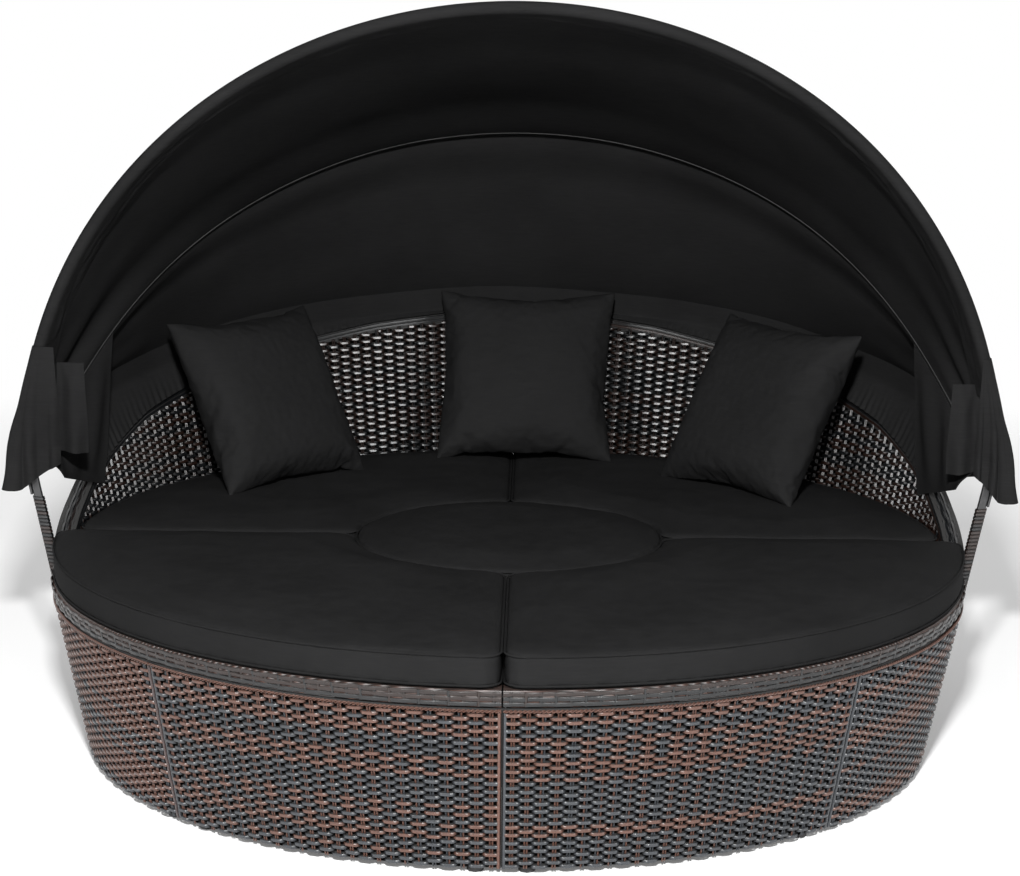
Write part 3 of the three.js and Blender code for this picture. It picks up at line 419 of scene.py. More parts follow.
def floor_material(settings):
    """A pale floor that keeps the shadow and fades into the white backdrop."""
    nodes = Nodes(bpy.data.materials.new("pale_floor"))
    x, y, _ = nodes.axes(nodes.place())
    reach = (x * x + y * y) ** 0.5
    fade = reach.cut(settings.floor_radius * 0.55, settings.floor_radius * 0.97)
    grain = nodes.noise(nodes.place(), 3.0)
    floor = nodes.shader({
        "Base Color": nodes.mix(grain, rgba(settings.floor_colour), (0.96, 0.96, 0.96, 1)),
        "Roughness": 0.9,
        "Specular IOR Level": 0.0,
        "Emission Color": (1, 1, 1, 1),
        "Emission Strength": settings.floor_glow,
    })
    return nodes.finish_mixed(fade, floor, nodes.add("ShaderNodeBsdfTransparent"))


def material(name, maker, *values):
    """The material of a name, made once."""
    return bpy.data.materials.get(name) or maker(name, *values)


def strands_finish():
    weave = bpy.context.scene.daybed_weave
    copper = (weave.copper_dark, weave.copper)
    slate = (weave.slate_dark, weave.slate)
    return material("woven_strands", strand_material, copper, slate, weave.strand_roughness)


def back_strands_finish():
    """The base's strands darkened for the back, rim, rail and post wraps: a shaded copy, which is
    painted shade.
    """
    weave = bpy.context.scene.daybed_weave
    copper, slate = (
        [tuple(part * BACK_SHADE_SHARE for part in colour) for colour in pair]
        for pair in ((weave.copper_dark, weave.copper), (weave.slate_dark, weave.slate))
    )
    return material("back_strands", strand_material, copper, slate, weave.back_roughness)


def backing_finish():
    return material("weave_backing", backing_material)


def steel_finish():
    return material("black_powder_coat", steel_material)


def cushion_finish():
    colour = bpy.context.scene.daybed_cloth.cushion_colour
    return material("cushion_cover", cloth_material, colour, COVER_THREAD, 0.72, 0.025)


def piping_finish():
    colour = bpy.context.scene.daybed_cloth.piping_colour
    return material("seam_piping", cloth_material, colour, COVER_THREAD, 0.6, 0.04)


def canopy_finish():
    colour = bpy.context.scene.daybed_cloth.canopy_colour
    return material("canopy_polyester", cloth_material, colour, CANOPY_THREAD, 0.72, 0.0)


# Making pieces


def deselect():
    if bpy.context.object and bpy.context.object.mode != "OBJECT":
        bpy.ops.object.mode_set(mode="OBJECT")
    bpy.ops.object.select_all(action="DESELECT")


def make_active(piece):
    deselect()
    piece.select_set(True)
    bpy.context.view_layer.objects.active = piece


def settle(piece, name, body, finish=None):
    """Names a finished piece, leaves its place in its mesh and lets it ride on its body."""
    make_active(piece)
    bpy.ops.object.transform_apply(location=True, rotation=True, scale=True)
    piece.name = name
    piece.data.name = name
    if finish:
        piece.data.materials.clear()
        piece.data.materials.append(finish)
    if body:
        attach(piece, body)
    return piece


def raw_piece(name, points, faces):
    """A new object from arrays of points and four-sided faces."""
    points = np.asarray(points, np.float32).reshape(-1, 3)
    faces = np.asarray(faces, np.int32).reshape(-1, 4)
    mesh = bpy.data.meshes.new(name)
    mesh.vertices.add(len(points))
    mesh.vertices.foreach_set("co", points.ravel())
    mesh.loops.add(faces.size)
    mesh.loops.foreach_set("vertex_index", faces.ravel())
    mesh.polygons.add(len(faces))
    mesh.polygons.foreach_set("loop_start", np.arange(0, faces.size, 4, dtype=np.int32))
    mesh.update(calc_edges=True)
    piece = bpy.data.objects.new(name, mesh)
    bpy.context.scene.collection.objects.link(piece)
    return piece


def smooth(piece, angle=40.0):
    make_active(piece)
    bpy.ops.object.shade_smooth_by_angle(angle=math.radians(angle))


def grid_faces(rows, columns, closed_rows=False, closed_columns=False):
    """Faces of a sheet of points laid out in rows and columns."""
    i = np.arange(rows if closed_rows else rows - 1)
    j = np.arange(columns if closed_columns else columns - 1)
    i, j = np.meshgrid(i, j, indexing="ij")
    up, on = (i + 1) % rows, (j + 1) % columns
    corners = [i * columns + j, i * columns + on, up * columns + on, up * columns + j]
    return np.stack(corners, -1).reshape(-1, 4)


# Cross-sections of a flat and of a round strand, as shares of its width and thickness
FLAT_PROFILE_SHARES = np.array([(0.5, -0.4), (0.3, 0.42), (-0.3, 0.42), (-0.5, -0.4)])
ROUND_PROFILE_SHARES = np.array([(0.5, 0.0), (0.0, 0.5), (-0.5, 0.0), (0.0, -0.5)])


class Strands:
    """Collects strands, each along its own line, and makes one piece of them."""

    def __init__(self):
        self.points = []
        self.faces = []
        self.tones = []
        self.runs = []
        self.lights = []
        self.count = 0

    def lay(self, line, out, up, width, thickness, tone, profile=FLAT_PROFILE_SHARES, raised=1.0):
        """Adds a strand; raised is 0 where it lies deep between its neighbours and 1 on top, and
        with the darker sides it makes the light attribute, which is painted shade.
        """
        line = np.asarray(line, float)
        raised = np.broadcast_to(raised, len(line))
        # Painted shade: the light attribute falls towards the strand's sides and where raised is
        # low
        crown = 1 - EDGE_SHADE_SHARE * (2 * np.abs(profile[:, 0])) ** 4
        out = np.broadcast_to(out, line.shape)
        up = np.broadcast_to(up, line.shape)
        ring = (
            line[:, None, :]
            + up[:, None, :] * (profile[:, 0] * width)[None, :, None]
            + out[:, None, :] * (profile[:, 1] * thickness)[None, :, None]
        )
        count, sides = len(line), len(profile)
        faces = grid_faces(count, sides, closed_columns=True)
        last = (count - 1) * sides
        caps = np.array([[3, 2, 1, 0], [last, last + 1, last + 2, last + 3]])
        steps = np.linalg.norm(np.diff(line, axis=0), axis=1)
        run = np.concatenate([[0.0], np.cumsum(steps)])
        self.points.append(ring.reshape(-1, 3))
        self.faces.append(np.concatenate([faces, caps]) + self.count)
        self.tones.append(np.full(count * sides, tone))
        self.runs.append(np.repeat(run, sides) + np.tile(profile[:, 0], count) * width)
        self.lights.append((raised[:, None] * crown[None, :]).ravel())
        self.count += count * sides

    def piece(self, name):
        made = raw_piece(name, np.concatenate(self.points), np.concatenate(self.faces))
        for key, values in (("tone", self.tones), ("run", self.runs), ("light", self.lights)):
            attribute = made.data.attributes.new(key, "FLOAT", "POINT")
            attribute.data.foreach_set("value", np.concatenate(values).astype(np.float32))
        return made


def round_shell(name, low, high, radius_at, angles, thickness):
    """A thin curved wall that follows the cone, closed all round."""
    low = np.broadcast_to(low, angles.shape)
    high = np.broadcast_to(high, angles.shape)
    corners = [
        on_round(radius_at(low), angles, low),
        on_round(radius_at(high), angles, high),
        on_round(radius_at(high) - thickness, angles, high),
        on_round(radius_at(low) - thickness, angles, low),
    ]
    points = np.stack(corners, 1).reshape(-1, 3)
    faces = grid_faces(len(angles), 4, closed_columns=True)
    last = (len(angles) - 1) * 4
    caps = np.array([[3, 2, 1, 0], [last, last + 1, last + 2, last + 3]])
    return raw_piece(name, points, np.concatenate([faces, caps])[:, ::-1])


def finish_woven(strands, backing, finish, node):
    """Joins a weave with the near-black wall behind it, which is painted shade, in place of a node.
    """
    piece = strands.piece(node)
    piece.data.materials.append(finish)
    for part in (piece, backing):
        part.data.materials.append(backing_finish())
    make_active(piece)
    backing.select_set(True)
    bpy.ops.object.join()
    settle(piece, f"woven_{node}", "base")
    smooth(piece)
    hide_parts(node)


# Weaving


def chance_tone(rng, middle=0.5, spread=0.5):
    return middle + spread * rng.uniform(-1, 1)


def row_tone(rng, warmth, last):
    """Rows come in runs of copper and of slate."""
    if rng.random() < SAME_TONE_CHANCE:
        return last
    return 0.5 + 0.5 * (1 if rng.random() < warmth else -1) * rng.uniform(0.5, 1.0)


def weave_wall(strands, rng, radius_at, low, high, from_angle, to_angle, side, warmth=0.5):
    """Rows over and under pairs of upright stakes, on the cone's outer (1) or inner (-1) face."""
    weave = bpy.context.scene.daybed_weave
    tallest = float(np.max(high(np.linspace(from_angle, to_angle, 60)) if callable(high) else high))
    mean_radius = radius_at((low + tallest) / 2)
    stakes = max(2, round(math.radians(to_angle - from_angle) * mean_radius / weave.stake_pitch))
    step = (to_angle - from_angle) / stakes
    samples = stakes * weave.samples_per_stake + 1
    angles = np.linspace(from_angle, to_angle, samples)
    places = (angles - from_angle) / step - 0.5
    limit = high(angles) if callable(high) else np.full(samples, high)
    rows = int((tallest - low) / weave.row_pitch)
    pitch = weave.row_pitch if callable(high) else (tallest - low) / rows
    tone = row_tone(rng, warmth, 1.0)
    for row in range(rows):
        height = low + (row + 0.5) * pitch
        inside = limit >= height + pitch * ROW_CLEAR_SHARE
        tone = row_tone(rng, warmth, tone)
        if inside.sum() < weave.samples_per_stake:
            continue
        there = angles[inside]
        swing = np.cos(math.pi * (places[inside] + row))
        swing = np.sign(swing) * np.abs(swing) ** weave.hump_share
        drift = weave.drift * np.sin(there * 0.9 + row * 2.4) * rng.uniform(0.3, 1.0)
        radius = radius_at(height) + side * (weave.weave_depth * swing + weave.stand_off)
        line = on_round(radius, there, height + drift)
        out, up = cone_ways(there)
        # Painted shade: raised goes to 0 where the row dives behind a stake
        raised = np.clip((swing - SHADED_SWING) / (LIT_SWING - SHADED_SWING), 0, 1)
        if side < 0:
            line, out, up, raised = line[::-1], -out[::-1], up[::-1], raised[::-1]
        width = weave.strand_width * rng.uniform(*WIDTH_SHARES)
        strands.lay(line, out, up, width, weave.strand_thickness, tone, raised=raised)
    for stake in range(stakes):
        angle = from_angle + (stake + 0.5) * step
        end = float(np.interp(angle, angles, limit))
        stake_pair(strands, rng, radius_at, low, end, angle, side, warmth)


def stake_pair(strands, rng, radius_at, low, high, angle, side, warmth):
    """Two thin round strands side by side, up the face of the wall."""
    weave = bpy.context.scene.daybed_weave
    if high - low < weave.row_pitch:
        return
    radial = on_round(1.0, angle, 0.0)
    across = on_round(1.0, angle + QUARTER, 0.0)
    heights = np.linspace(low, high, 3)
    for half in (-1, 1):
        centre = on_round(radius_at(heights) + side * weave.stand_off, angle, heights)
        line = centre + across * half * weave.stake_spread
        tone = 0.5 + 0.5 * (1 if rng.random() < 0.3 + warmth * 0.6 else -1)
        width = weave.stake_width
        strands.lay(line, radial, across, width, width, tone, ROUND_PROFILE_SHARES)


def edge_strand(strands, rng, radius_at, low, high, angle, side):
    """The upright strand that binds the end of a woven panel."""
    weave = bpy.context.scene.daybed_weave
    heights = np.linspace(low, high, 24)
    wobble = np.sin(np.arange(24) * 2.2) * EDGE_WOBBLE
    rise = weave.stand_off + wobble + EDGE_STRAND_RISE
    line = on_round(radius_at(heights) + side * rise, angle, heights)
    radial = on_round(1.0, angle, 0.0) * side
    across = -on_round(1.0, angle + QUARTER, 0.0) * side
    width = weave.strand_width * 0.9
    strands.lay(line, radial, across, width, EDGE_STRAND_THICKNESS, chance_tone(rng, 0.5, 0.4))


def twisted_edge(strands, height, angles, thickness, turn_length, tone):
    """Two strands twisted round each other along the cone's edge."""
    radial = on_round(1.0, angles, 0.0)
    centre = on_round(shell_radius(height), angles, height) + radial * thickness
    run = np.concatenate([[0.0], np.cumsum(np.linalg.norm(np.diff(centre, axis=0), axis=1))])
    for half in (0.0, math.pi):
        turn = 2 * math.pi * run / turn_length + half
        line = centre + radial * (np.cos(turn) * thickness * 0.45)[:, None]
        line = line + UPRIGHT * (np.sin(turn) * thickness * 0.45)[:, None]
        strands.lay(line, radial, UPRIGHT, thickness, thickness, tone, ROUND_PROFILE_SHARES)


def seam_angle(radius):
    return math.degrees(SEAM_GAP / 2 / radius)


def weave_outer_panel(index, name):
    """One eighth of the base's woven skin with its bound ends and twisted top edge."""
    weave = bpy.context.scene.daybed_weave
    rng = random.Random(100 + index)
    gap = seam_angle(shell_radius(PANEL_TOP / 2))
    start = index * EIGHTH - QUARTER + gap
    end = start + EIGHTH - 2 * gap
    bind = math.degrees(weave.strand_width * 0.5 / RIM_RADIUS)
    warmth = weave.warm_left if "left" in name else weave.warm_right
    strands = Strands()
    top = PANEL_TOP - weave.strand_width
    weave_wall(strands, rng, shell_radius, GLIDE_HEIGHT, top, start + bind, end - bind, 1, warmth)
    for angle in (start + bind, end - bind):
        edge_strand(strands, rng, shell_radius, GLIDE_HEIGHT, PANEL_TOP, angle, 1)
    count = int(math.radians(EIGHTH) * RIM_RADIUS / weave.edge_turn * 8)
    angles = np.linspace(start, end, count)
    height = PANEL_TOP - weave.strand_width * 0.45
    twisted_edge(strands, height, angles, weave.edge_width, weave.edge_turn, 0.75)
    backing = round_shell(
        "backing", GLIDE_HEIGHT, PANEL_TOP, lambda height: shell_radius(height) - weave.weave_depth,
        np.linspace(start - gap * 0.9, end + gap * 0.9, 17), BACKING_THICKNESS)
    finish_woven(strands, backing, strands_finish(), f"outer_panel_{name}")


def weave_rim_band(index, name):
    """The band that edges a seat quarter: three rows with upright wraps."""
    weave = bpy.context.scene.daybed_weave
    rng = random.Random(200 + index)
    start = index * QUARTER - QUARTER
    gap = seam_angle(RIM_RADIUS)
    low = SEAT_HEIGHT - RIM_BAND_HEIGHT
    strands = Strands()
    angles = np.linspace(start + gap, start + QUARTER - gap, weave.rim_samples)
    stakes = round(math.radians(QUARTER) * RIM_RADIUS / weave.rim_wrap_pitch)
    pitch = RIM_BAND_HEIGHT / 3
    out, up = cone_ways(angles)
    for row in range(3):
        height = low + (row + 0.5) * pitch
        places = (angles - start) / QUARTER * stakes
        swing = np.cos(math.pi * (places + row))
        swing = np.sign(swing) * np.abs(swing) ** weave.hump_share
        rise = RIM_SWING[0] + RIM_SWING[1] * swing
        line = on_round(shell_radius(height) + rise, angles, height)
        strands.lay(line, out, up, pitch * 0.9, RIM_STRAND_THICKNESS, chance_tone(rng))
    for stake in range(stakes):
        angle = start + gap + (stake + 0.5) * (QUARTER - 2 * gap) / stakes
        heights = np.linspace(low + 0.001, SEAT_HEIGHT - 0.001, 4)
        lift = RIM_WRAP_LIFTS[stake % 2]
        line = on_round(shell_radius(heights) + lift, angle, heights)
        across = -on_round(1.0, angle + QUARTER, 0.0)
        radial = on_round(1.0, angle, 0.0)
        strands.lay(line, radial, across, RIM_WRAP_WIDTH, RIM_WRAP_THICKNESS, chance_tone(rng))
    node = f"rim_band_{name}"
    smooth(settle(strands.piece(node), node, "base", back_strands_finish()))


def back_faces(angles):
    return back_top(angles - QUARTER)


def back_span(sign):
    """Where one half of the back starts and ends, and the gap there, as angles."""
    gap = math.degrees(BACK_END_GAP / shell_radius(SEAT_HEIGHT))
    first = 0.0 if sign > 0 else QUARTER
    return first + gap, first + QUARTER - gap, gap


def weave_back(side_name):
    """The back's inner and outer weave on one half."""
    weave = bpy.context.scene.daybed_weave
    sign = SIDES[side_name]
    start, end, gap = back_span(sign)
    low = SEAT_HEIGHT + FIT_GAP

    def top(angles):
        return back_faces(angles) - BACK_RAIL_HEIGHT * 0.8

    for part, inset, face in (("outer", 0.0, 1), ("inner", BACK_THICKNESS, -1)):
        rng = random.Random(f"{part}{side_name}")

        def radius_at(height, inset=inset):
            return shell_radius(height) - inset

        strands = Strands()
        bind = math.degrees(weave.strand_width * 0.5 / RIM_RADIUS)
        warmth = weave.warm_left if sign < 0 else weave.warm_right
        weave_wall(strands, rng, radius_at, low, top, start + bind, end - bind, face, warmth)
        for angle in (start + bind, end - bind):
            edge_strand(strands, rng, radius_at, low, float(top(angle)), angle, face)
        seam = BACK_SEAM_SHARE * gap
        from_angle, to_angle = (start - seam, end) if sign < 0 else (start, end + seam)
        angles = np.linspace(from_angle, to_angle, 49)
        shift = inset + face * weave.weave_depth - (0.0 if face > 0 else BACKING_THICKNESS)
        backing = round_shell(
            "backing", low, top(angles), lambda height, shift=shift: shell_radius(height) - shift,
            angles, BACKING_THICKNESS)
        finish = strands_finish() if face > 0 else back_strands_finish()
        finish_woven(strands, backing, finish, f"back_{part}_{side_name}")


def wrap_rail(side_name):
    """The back's rail, wound all along with flat strand."""
    weave = bpy.context.scene.daybed_weave
    rng = random.Random(f"rail{side_name}")
    start, end, _ = back_span(SIDES[side_name])
    strands = Strands()
    angles = np.linspace(start, end, 240)
    tops = back_faces(angles)
    stakes = math.radians(QUARTER) * RIM_RADIUS / weave.stake_pitch
    half = BACK_THICKNESS / 2
    rows = 5
    for row in range(rows):
        share = (row + 0.5) / rows * 2 - 1
        swing = RAIL_SWING * np.cos(math.pi * ((angles - start) / QUARTER * stakes + row))
        height = tops - RAIL_CROWN * share ** 2 + swing - RAIL_SWING
        radius = shell_radius(tops) - half + share * (half - RAIL_INSET)
        line = on_round(radius, angles, height)
        radial = on_round(1.0, angles, 0.0)
        tilt = share * 0.5
        out = radial * math.sin(tilt) + np.array([0, 0, math.cos(tilt)])
        across = np.cross(np.gradient(line, axis=0), out)
        across /= -np.linalg.norm(across, axis=1)[:, None]
        width = BACK_THICKNESS / rows * 0.92
        strands.lay(line, out, across, width, RAIL_STRAND_THICKNESS, chance_tone(rng, 0.25, 0.25))
    for face in (1, -1):
        for row in range(2):
            drop = RAIL_SIDE_DROP + row * weave.row_pitch
            radius = shell_radius(tops - drop) - (0 if face > 0 else BACK_THICKNESS) + face * 0.001
            line = on_round(radius, angles, tops - drop)
            radial = on_round(1.0, angles, 0.0) * face
            if face < 0:
                line, radial = line[::-1], radial[::-1]
            width = weave.strand_width * 0.92
            tone = chance_tone(rng)
            strands.lay(line, radial, UPRIGHT, width, RAIL_STRAND_THICKNESS, tone)
    core = round_shell(
        "core", tops - BACK_RAIL_HEIGHT * 0.95, tops - 0.0015, shell_radius, angles, BACK_THICKNESS)
    finish_woven(strands, core, back_strands_finish(), f"back_rail_{side_name}")


# Canopy shapes


HOOP_STEPS = 26
CLOTH_CLEAR = 0.001
HEM_UNEVEN_SHARE = 0.10
HEM_DROP = 0.004
SKIRT_SEAM_CLEAR = 0.0006
PLEAT_INWARD = -0.004
LEAST_SAG_SPAN = 19
SEAM_CLEAR = 0.0004
SEAM_PIPING = 0.0026
SEAM_PIPING_DROP = 0.0015
SKIRT_CLEAR = 0.009
LINING_REACH = 0.06
LINING_CLEAR = 0.004
LINING_TUCK = 0.005
LINING_INSET = 0.006
LINING_LIFT = 0.003
LINING_GATHER = 0.002
LINING_TURN = 0.4
FLAP_INNER_SHARE = 0.4
FLAP_CLEAR = 0.004
FLAP_SWING = 0.05
BOLT_CLEAR = 0.9735
STRIP_DROP = 0.01
STRIP_TOP_SHARE = 0.82
STRIP_CURL = 0.007
STRIP_UNEVEN = 0.004
DRAPE_INSET = 0.016
DRAPE_CLEAR = 0.011
DRAPE_FOLD = 0.004


def eye_place(way):
    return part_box(f"hoop_{way}")[1].x - EYE_THICKNESS / 2


def hoop_facts():
    """The three hoops: radius, reach, lean and where their flattened ends lie."""
    rest_y = shell_radius(SEAT_HEIGHT + BACK_RISE) - BACK_THICKNESS / 2
    rest_z = SEAT_HEIGHT + BACK_RISE + FIT_GAP + HOOP_TUBE / 2 - PIVOT_HEIGHT
    rear_lean = -math.degrees(math.atan2(rest_y, rest_z))
    return {
        "front": (HOOP_RADIUS, HOOP_RADIUS, FRONT_LEAN, eye_place("front")),
        "middle": (MIDDLE_HOOP_RADIUS, MIDDLE_HOOP_RADIUS, MIDDLE_LEAN, eye_place("middle")),
        "rear": (HOOP_RADIUS, math.hypot(rest_y, rest_z), rear_lean, eye_place("rear")),
    }


ROUND_START = math.asin((EYE_LENGTH + EYE_BLEND) / HOOP_RADIUS)


def hoop_point(hoop, turn):
    radius, reach, lean, eye = hoop
    lean = math.radians(lean)
    half = radius + (eye - radius) * (1 - math.sin(turn)) ** FLARE_POWER
    rise = reach * math.sin(turn)
    sway = HOOP_SWAY * math.sin(turn) ** 2
    height = PIVOT_HEIGHT + rise * math.cos(lean)
    return Vector((half * math.cos(turn) + sway, -rise * math.sin(lean), height))


def hoop_frame(hoop, turn):
    """A hoop's point with the way along it and out of its curve."""
    nudge = 0.02
    lean = math.radians(hoop[2])
    point = hoop_point(hoop, turn)
    along = (hoop_point(hoop, turn + nudge) - hoop_point(hoop, turn - nudge)).normalized()
    forward = Vector((0, -math.cos(lean), -math.sin(lean)))
    out = along.cross(forward).normalized()
    if out.dot(point - Vector((0, 0, PIVOT_HEIGHT))) < 0:
        out.negate()
    return point, along, out


def tight_out(at, towards):
    """The way a sheet pulls from a hoop towards a point, and the way out of that sheet."""
    point, along, out = at
    pull = towards - point
    pull = (pull - along * pull.dot(along)).normalized()
    square = along.cross(pull).normalized()
    return pull, -square if square.dot(out) < 0 else square


def hoop_frames(turn, hoops):
    """The frames of the front, middle and rear hoop at a turn."""
    return [hoop_frame(hoop, turn) for hoop in hoops.values()]


def seam_way(front, middle, rear):
    """The way out of the seam that the front and the rear sheet share."""
    return (tight_out(middle, front[0])[1] + tight_out(middle, rear[0])[1]).normalized()


def cloth_seat():
    """How far the middle of a sheet lies from a hoop's own middle line."""
    return HOOP_TUBE / 2 + CLOTH_CLEAR + bpy.context.scene.daybed_cloth.thickness / 2


def sheet_points(down, around, point_at):
    """Rows of points, each from its shares of the way down and round a sheet."""
    return [[point_at(j / down, i / around) for i in range(around + 1)] for j in range(down + 1)]


def cloth_piece(name, grid, body):
    """A sheet from rows of points, given its thickness and smoothed."""
    cloth = bpy.context.scene.daybed_cloth
    grid = np.asarray(grid)
    piece = raw_piece(name, grid.reshape(-1, 3), grid_faces(grid.shape[0], grid.shape[1]))
    make_active(piece)
    solidify = piece.modifiers.new("thickness", "SOLIDIFY")
    solidify.thickness = cloth.thickness
    solidify.offset = 0
    bpy.ops.object.modifier_apply(modifier=solidify.name)
    settle(piece, name, body, canopy_finish())
    smooth(piece, 60)
    return piece


def sheet_size(grid):
    """The longest lengths along and across a grid of points, and its area."""
    grid = np.asarray(grid)
    rows = np.linalg.norm(np.diff(grid, axis=0), axis=2).sum(0)
    columns = np.linalg.norm(np.diff(grid, axis=1), axis=2).sum(1)
    a, b, c, d = grid[:-1, :-1], grid[1:, :-1], grid[1:, 1:], grid[:-1, 1:]
    halves = (np.cross(b - a, c - a), np.cross(c - a, d - a))
    area = sum(0.5 * np.linalg.norm(half, axis=2).sum() for half in halves)
    return float(rows.max()), float(columns.max()), float(area)


def declare_sheet(grid):
    """Works out a sheet's longest lengths and its area, which nothing keeps."""
    length, width, area = sheet_size(grid)


def fold_noise(x, y, seed, scale):
    return noise.noise(Vector((x * scale, y * scale, seed)))


def hoop_turns(count, start_step=0.7):
    """Turns along a hoop, from some steps past where its flat end becomes round."""
    first = ROUND_START + (math.pi - 2 * ROUND_START) * start_step / HOOP_STEPS
    return np.linspace(first, math.pi - first, count)


def taut_points(start, last, out, turn, calm_turn, folds, fold_seed, drift_seed):
    """Points of a sheet stretched between two ends, with a sag and folds near the pivots."""
    cloth = bpy.context.scene.daybed_cloth
    sag = min(cloth.sag, (last - start).length / LEAST_SAG_SPAN)
    near_end = max(0.0, 1 - math.sin(turn) * calm_turn)
    points = []
    for i in range(cloth.span_samples + 1):
        share = i / cloth.span_samples
        bow = 4 * share * (1 - share)
        calm = min(1.0, 2 * bow)
        phase = share * folds + 2 * fold_noise(turn, share, fold_seed, 2.0)
        fold = cloth.fold_depth * calm * near_end * math.sin(phase)
        drift = cloth.drift * calm * fold_noise(turn * 2, share * 2, drift_seed, 1.3)
        points.append(start.lerp(last, share) + out * (fold + drift - sag * bow))
    return points


def front_cloth_grid():
    """Rows of points from the hem inside the front hoop, round it, and back to the middle hoop."""
    cloth = bpy.context.scene.daybed_cloth
    hoops = hoop_facts()
    seat = cloth_seat()
    grid = []
    for turn in hoop_turns(cloth.hoop_samples):
        front, middle, rear = hoop_frames(turn, hoops)
        pull, out = tight_out(front, middle[0])
        start = front[0] + out * seat
        last = middle[0] + seam_way(front, middle, rear) * seat - pull * SEAM_CLEAR
        room = (last - start).length
        row = []
        hem = min(cloth.hem_depth, room / 2)
        for i in range(cloth.hem_lines + 1):
            share = 1 - i / cloth.hem_lines
            ripple = cloth.hem_ripple * share * math.sin(share * math.pi)
            fine = 0.6 * fold_noise(turn, share, 5.7, 30.0)
            wave = ripple * (fold_noise(turn, share, 3.1, 9.0) + fine)
            edge = hem * (1 + HEM_UNEVEN_SHARE * fold_noise(turn, 0, 8.0, 8.0))
            under = seat - wave - HEM_DROP * share
            row.append(front[0] + pull * edge * share - out * under)
        for i in range(1, cloth.sleeve_lines):
            angle = math.pi * (1 - i / cloth.sleeve_lines)
            row.append(front[0] + out * (seat * math.cos(angle)) - pull * (seat * math.sin(angle)))
        grid.append(row + taut_points(start, last, out, turn, 1.6, 21, 1.3, 0.5))
    return grid


def rear_cloth_grid():
    hoops = hoop_facts()
    seat = cloth_seat()
    grid = []
    for turn in hoop_turns(bpy.context.scene.daybed_cloth.hoop_samples):
        front, middle, rear = hoop_frames(turn, hoops)
        pull, out = tight_out(middle, rear[0])
        start = middle[0] + seam_way(front, middle, rear) * seat + pull * SEAM_CLEAR
        grid.append(taut_points(start, rear[0] + out * seat, out, turn, 1.5, 17, 2.3, 4.5))
    return grid


def rail_places(count):
    """Points along the rear hoop, over the back's rail: where the skirt and the lining hang."""
    hoops = hoop_facts()
    for k, turn in enumerate(hoop_turns(count, 2.0)):
        middle = hoop_frame(hoops["middle"], turn)
        rear = hoop_frame(hoops["rear"], turn)
        pull, out = tight_out(middle, rear[0])
        place = math.degrees(math.atan2(rear[0].y, rear[0].x))
        wall = float(back_top(place - QUARTER))
        yield k, turn, middle[0], rear[0], pull, out, place, wall


def skirt_grid(rows_down):
    """The skirt's close gathers, from the rear hoop down outside the back."""
    cloth = bpy.context.scene.daybed_cloth
    seat = cloth_seat()
    grid = []
    for k, turn, _, rear, pull, out, place, wall in rail_places(cloth.skirt_samples):
        start = rear + out * seat + pull * SKIRT_SEAM_CLEAR
        low = wall - cloth.skirt_drop * (1 + 0.06 * fold_noise(turn, 0, 6.0, 5.0))
        over = max(math.hypot(rear.x, rear.y) + seat, shell_radius(wall) + SKIRT_CLEAR)
        end = Vector(on_round(shell_radius(low) + SKIRT_CLEAR, place, low))
        mid = Vector(on_round(over, place, (rear.z + wall) / 2 - SKIRT_CLEAR))
        column = []
        for i in range(rows_down + 1):
            share = i / rows_down
            base = start * (1 - share) ** 2 + mid * 2 * share * (1 - share) + end * share ** 2
            if share > 0.5:
                base = mid.lerp(end, share * 2 - 1).lerp(base, 0.5)
            radial = Vector((base.x, base.y, 0)).normalized()
            wave = math.sin(k * math.pi / 3 + 1.5 * fold_noise(turn, share, 7.0, 14.0))
            unlike = 0.7 + 0.6 * fold_noise(turn, 0, 2.0, 20.0)
            depth = cloth.pleat_depth * min(1.0, share * 1.6) * unlike
            column.append(base + radial * max(PLEAT_INWARD, depth * wave))
        grid.append(column)
    return grid


def flap_grid(sign, around, down):
    """The loose corner of the front cloth, hanging before the post and round its outside."""
    cloth = bpy.context.scene.daybed_cloth
    low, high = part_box("side_flap_right")
    front = hoop_facts()["front"]
    hug = cloth_seat() + cloth.thickness * 1.5
    edge = cloth.flap_edge + cloth.side_shift * sign
    top = high.z + cloth.flap_lap

    def point_at(share, across):
        height = top + (low.z - top) * share
        rise = max(height - PIVOT_HEIGHT, 0) / math.cos(math.radians(FRONT_LEAN))
        turn = math.asin(rise / HOOP_RADIUS)
        leg = hoop_point(front, turn if sign > 0 else math.pi - turn)
        leg.x *= sign
        low_share = min(1.0, max(0.0, (share - 0.4) / 0.4))
        low_share = low_share ** 2 * (3 - 2 * low_share)
        leg.x += max(0.0, BOLT_CLEAR - hug - leg.x) * low_share
        side = max(across - FLAP_INNER_SHARE, 0) / (1 - FLAP_INNER_SHARE)
        out = Vector(on_round(1.0, -QUARTER + (EIGHTH + QUARTER) * side, 0.0))
        depth = min(1.0, 1.6 * share) * (0.4 + 0.6 * share)
        phase = across * math.pi * 7 + 1.2 * share * math.sin(across * 5)
        unlike = 0.5 + 0.5 * fold_noise(across, share, 9.2, 3.0)
        wave = max(0.0, 2 * cloth.flap_fold * depth * math.sin(phase) * unlike)
        flare = cloth.flap_flare * math.sin(math.pi * min(1.0, side * 1.3))
        off = hug + FLAP_CLEAR * low_share + (FLAP_CLEAR + flare) * share ** 2
        point = Vector((leg.x, leg.y, height)) + out * (off + wave)
        inward = max(1 - across / FLAP_INNER_SHARE, 0)
        point.x += (edge - point.x) * inward
        point.y -= FLAP_SWING * share * (0.5 - side) * side
        point.z += share ** 2 * (cloth.flap_rise * inward + 0.003 * math.sin(across * 9))
        return Vector((sign * point.x, point.y, point.z))

    return sheet_points(down, around, point_at)


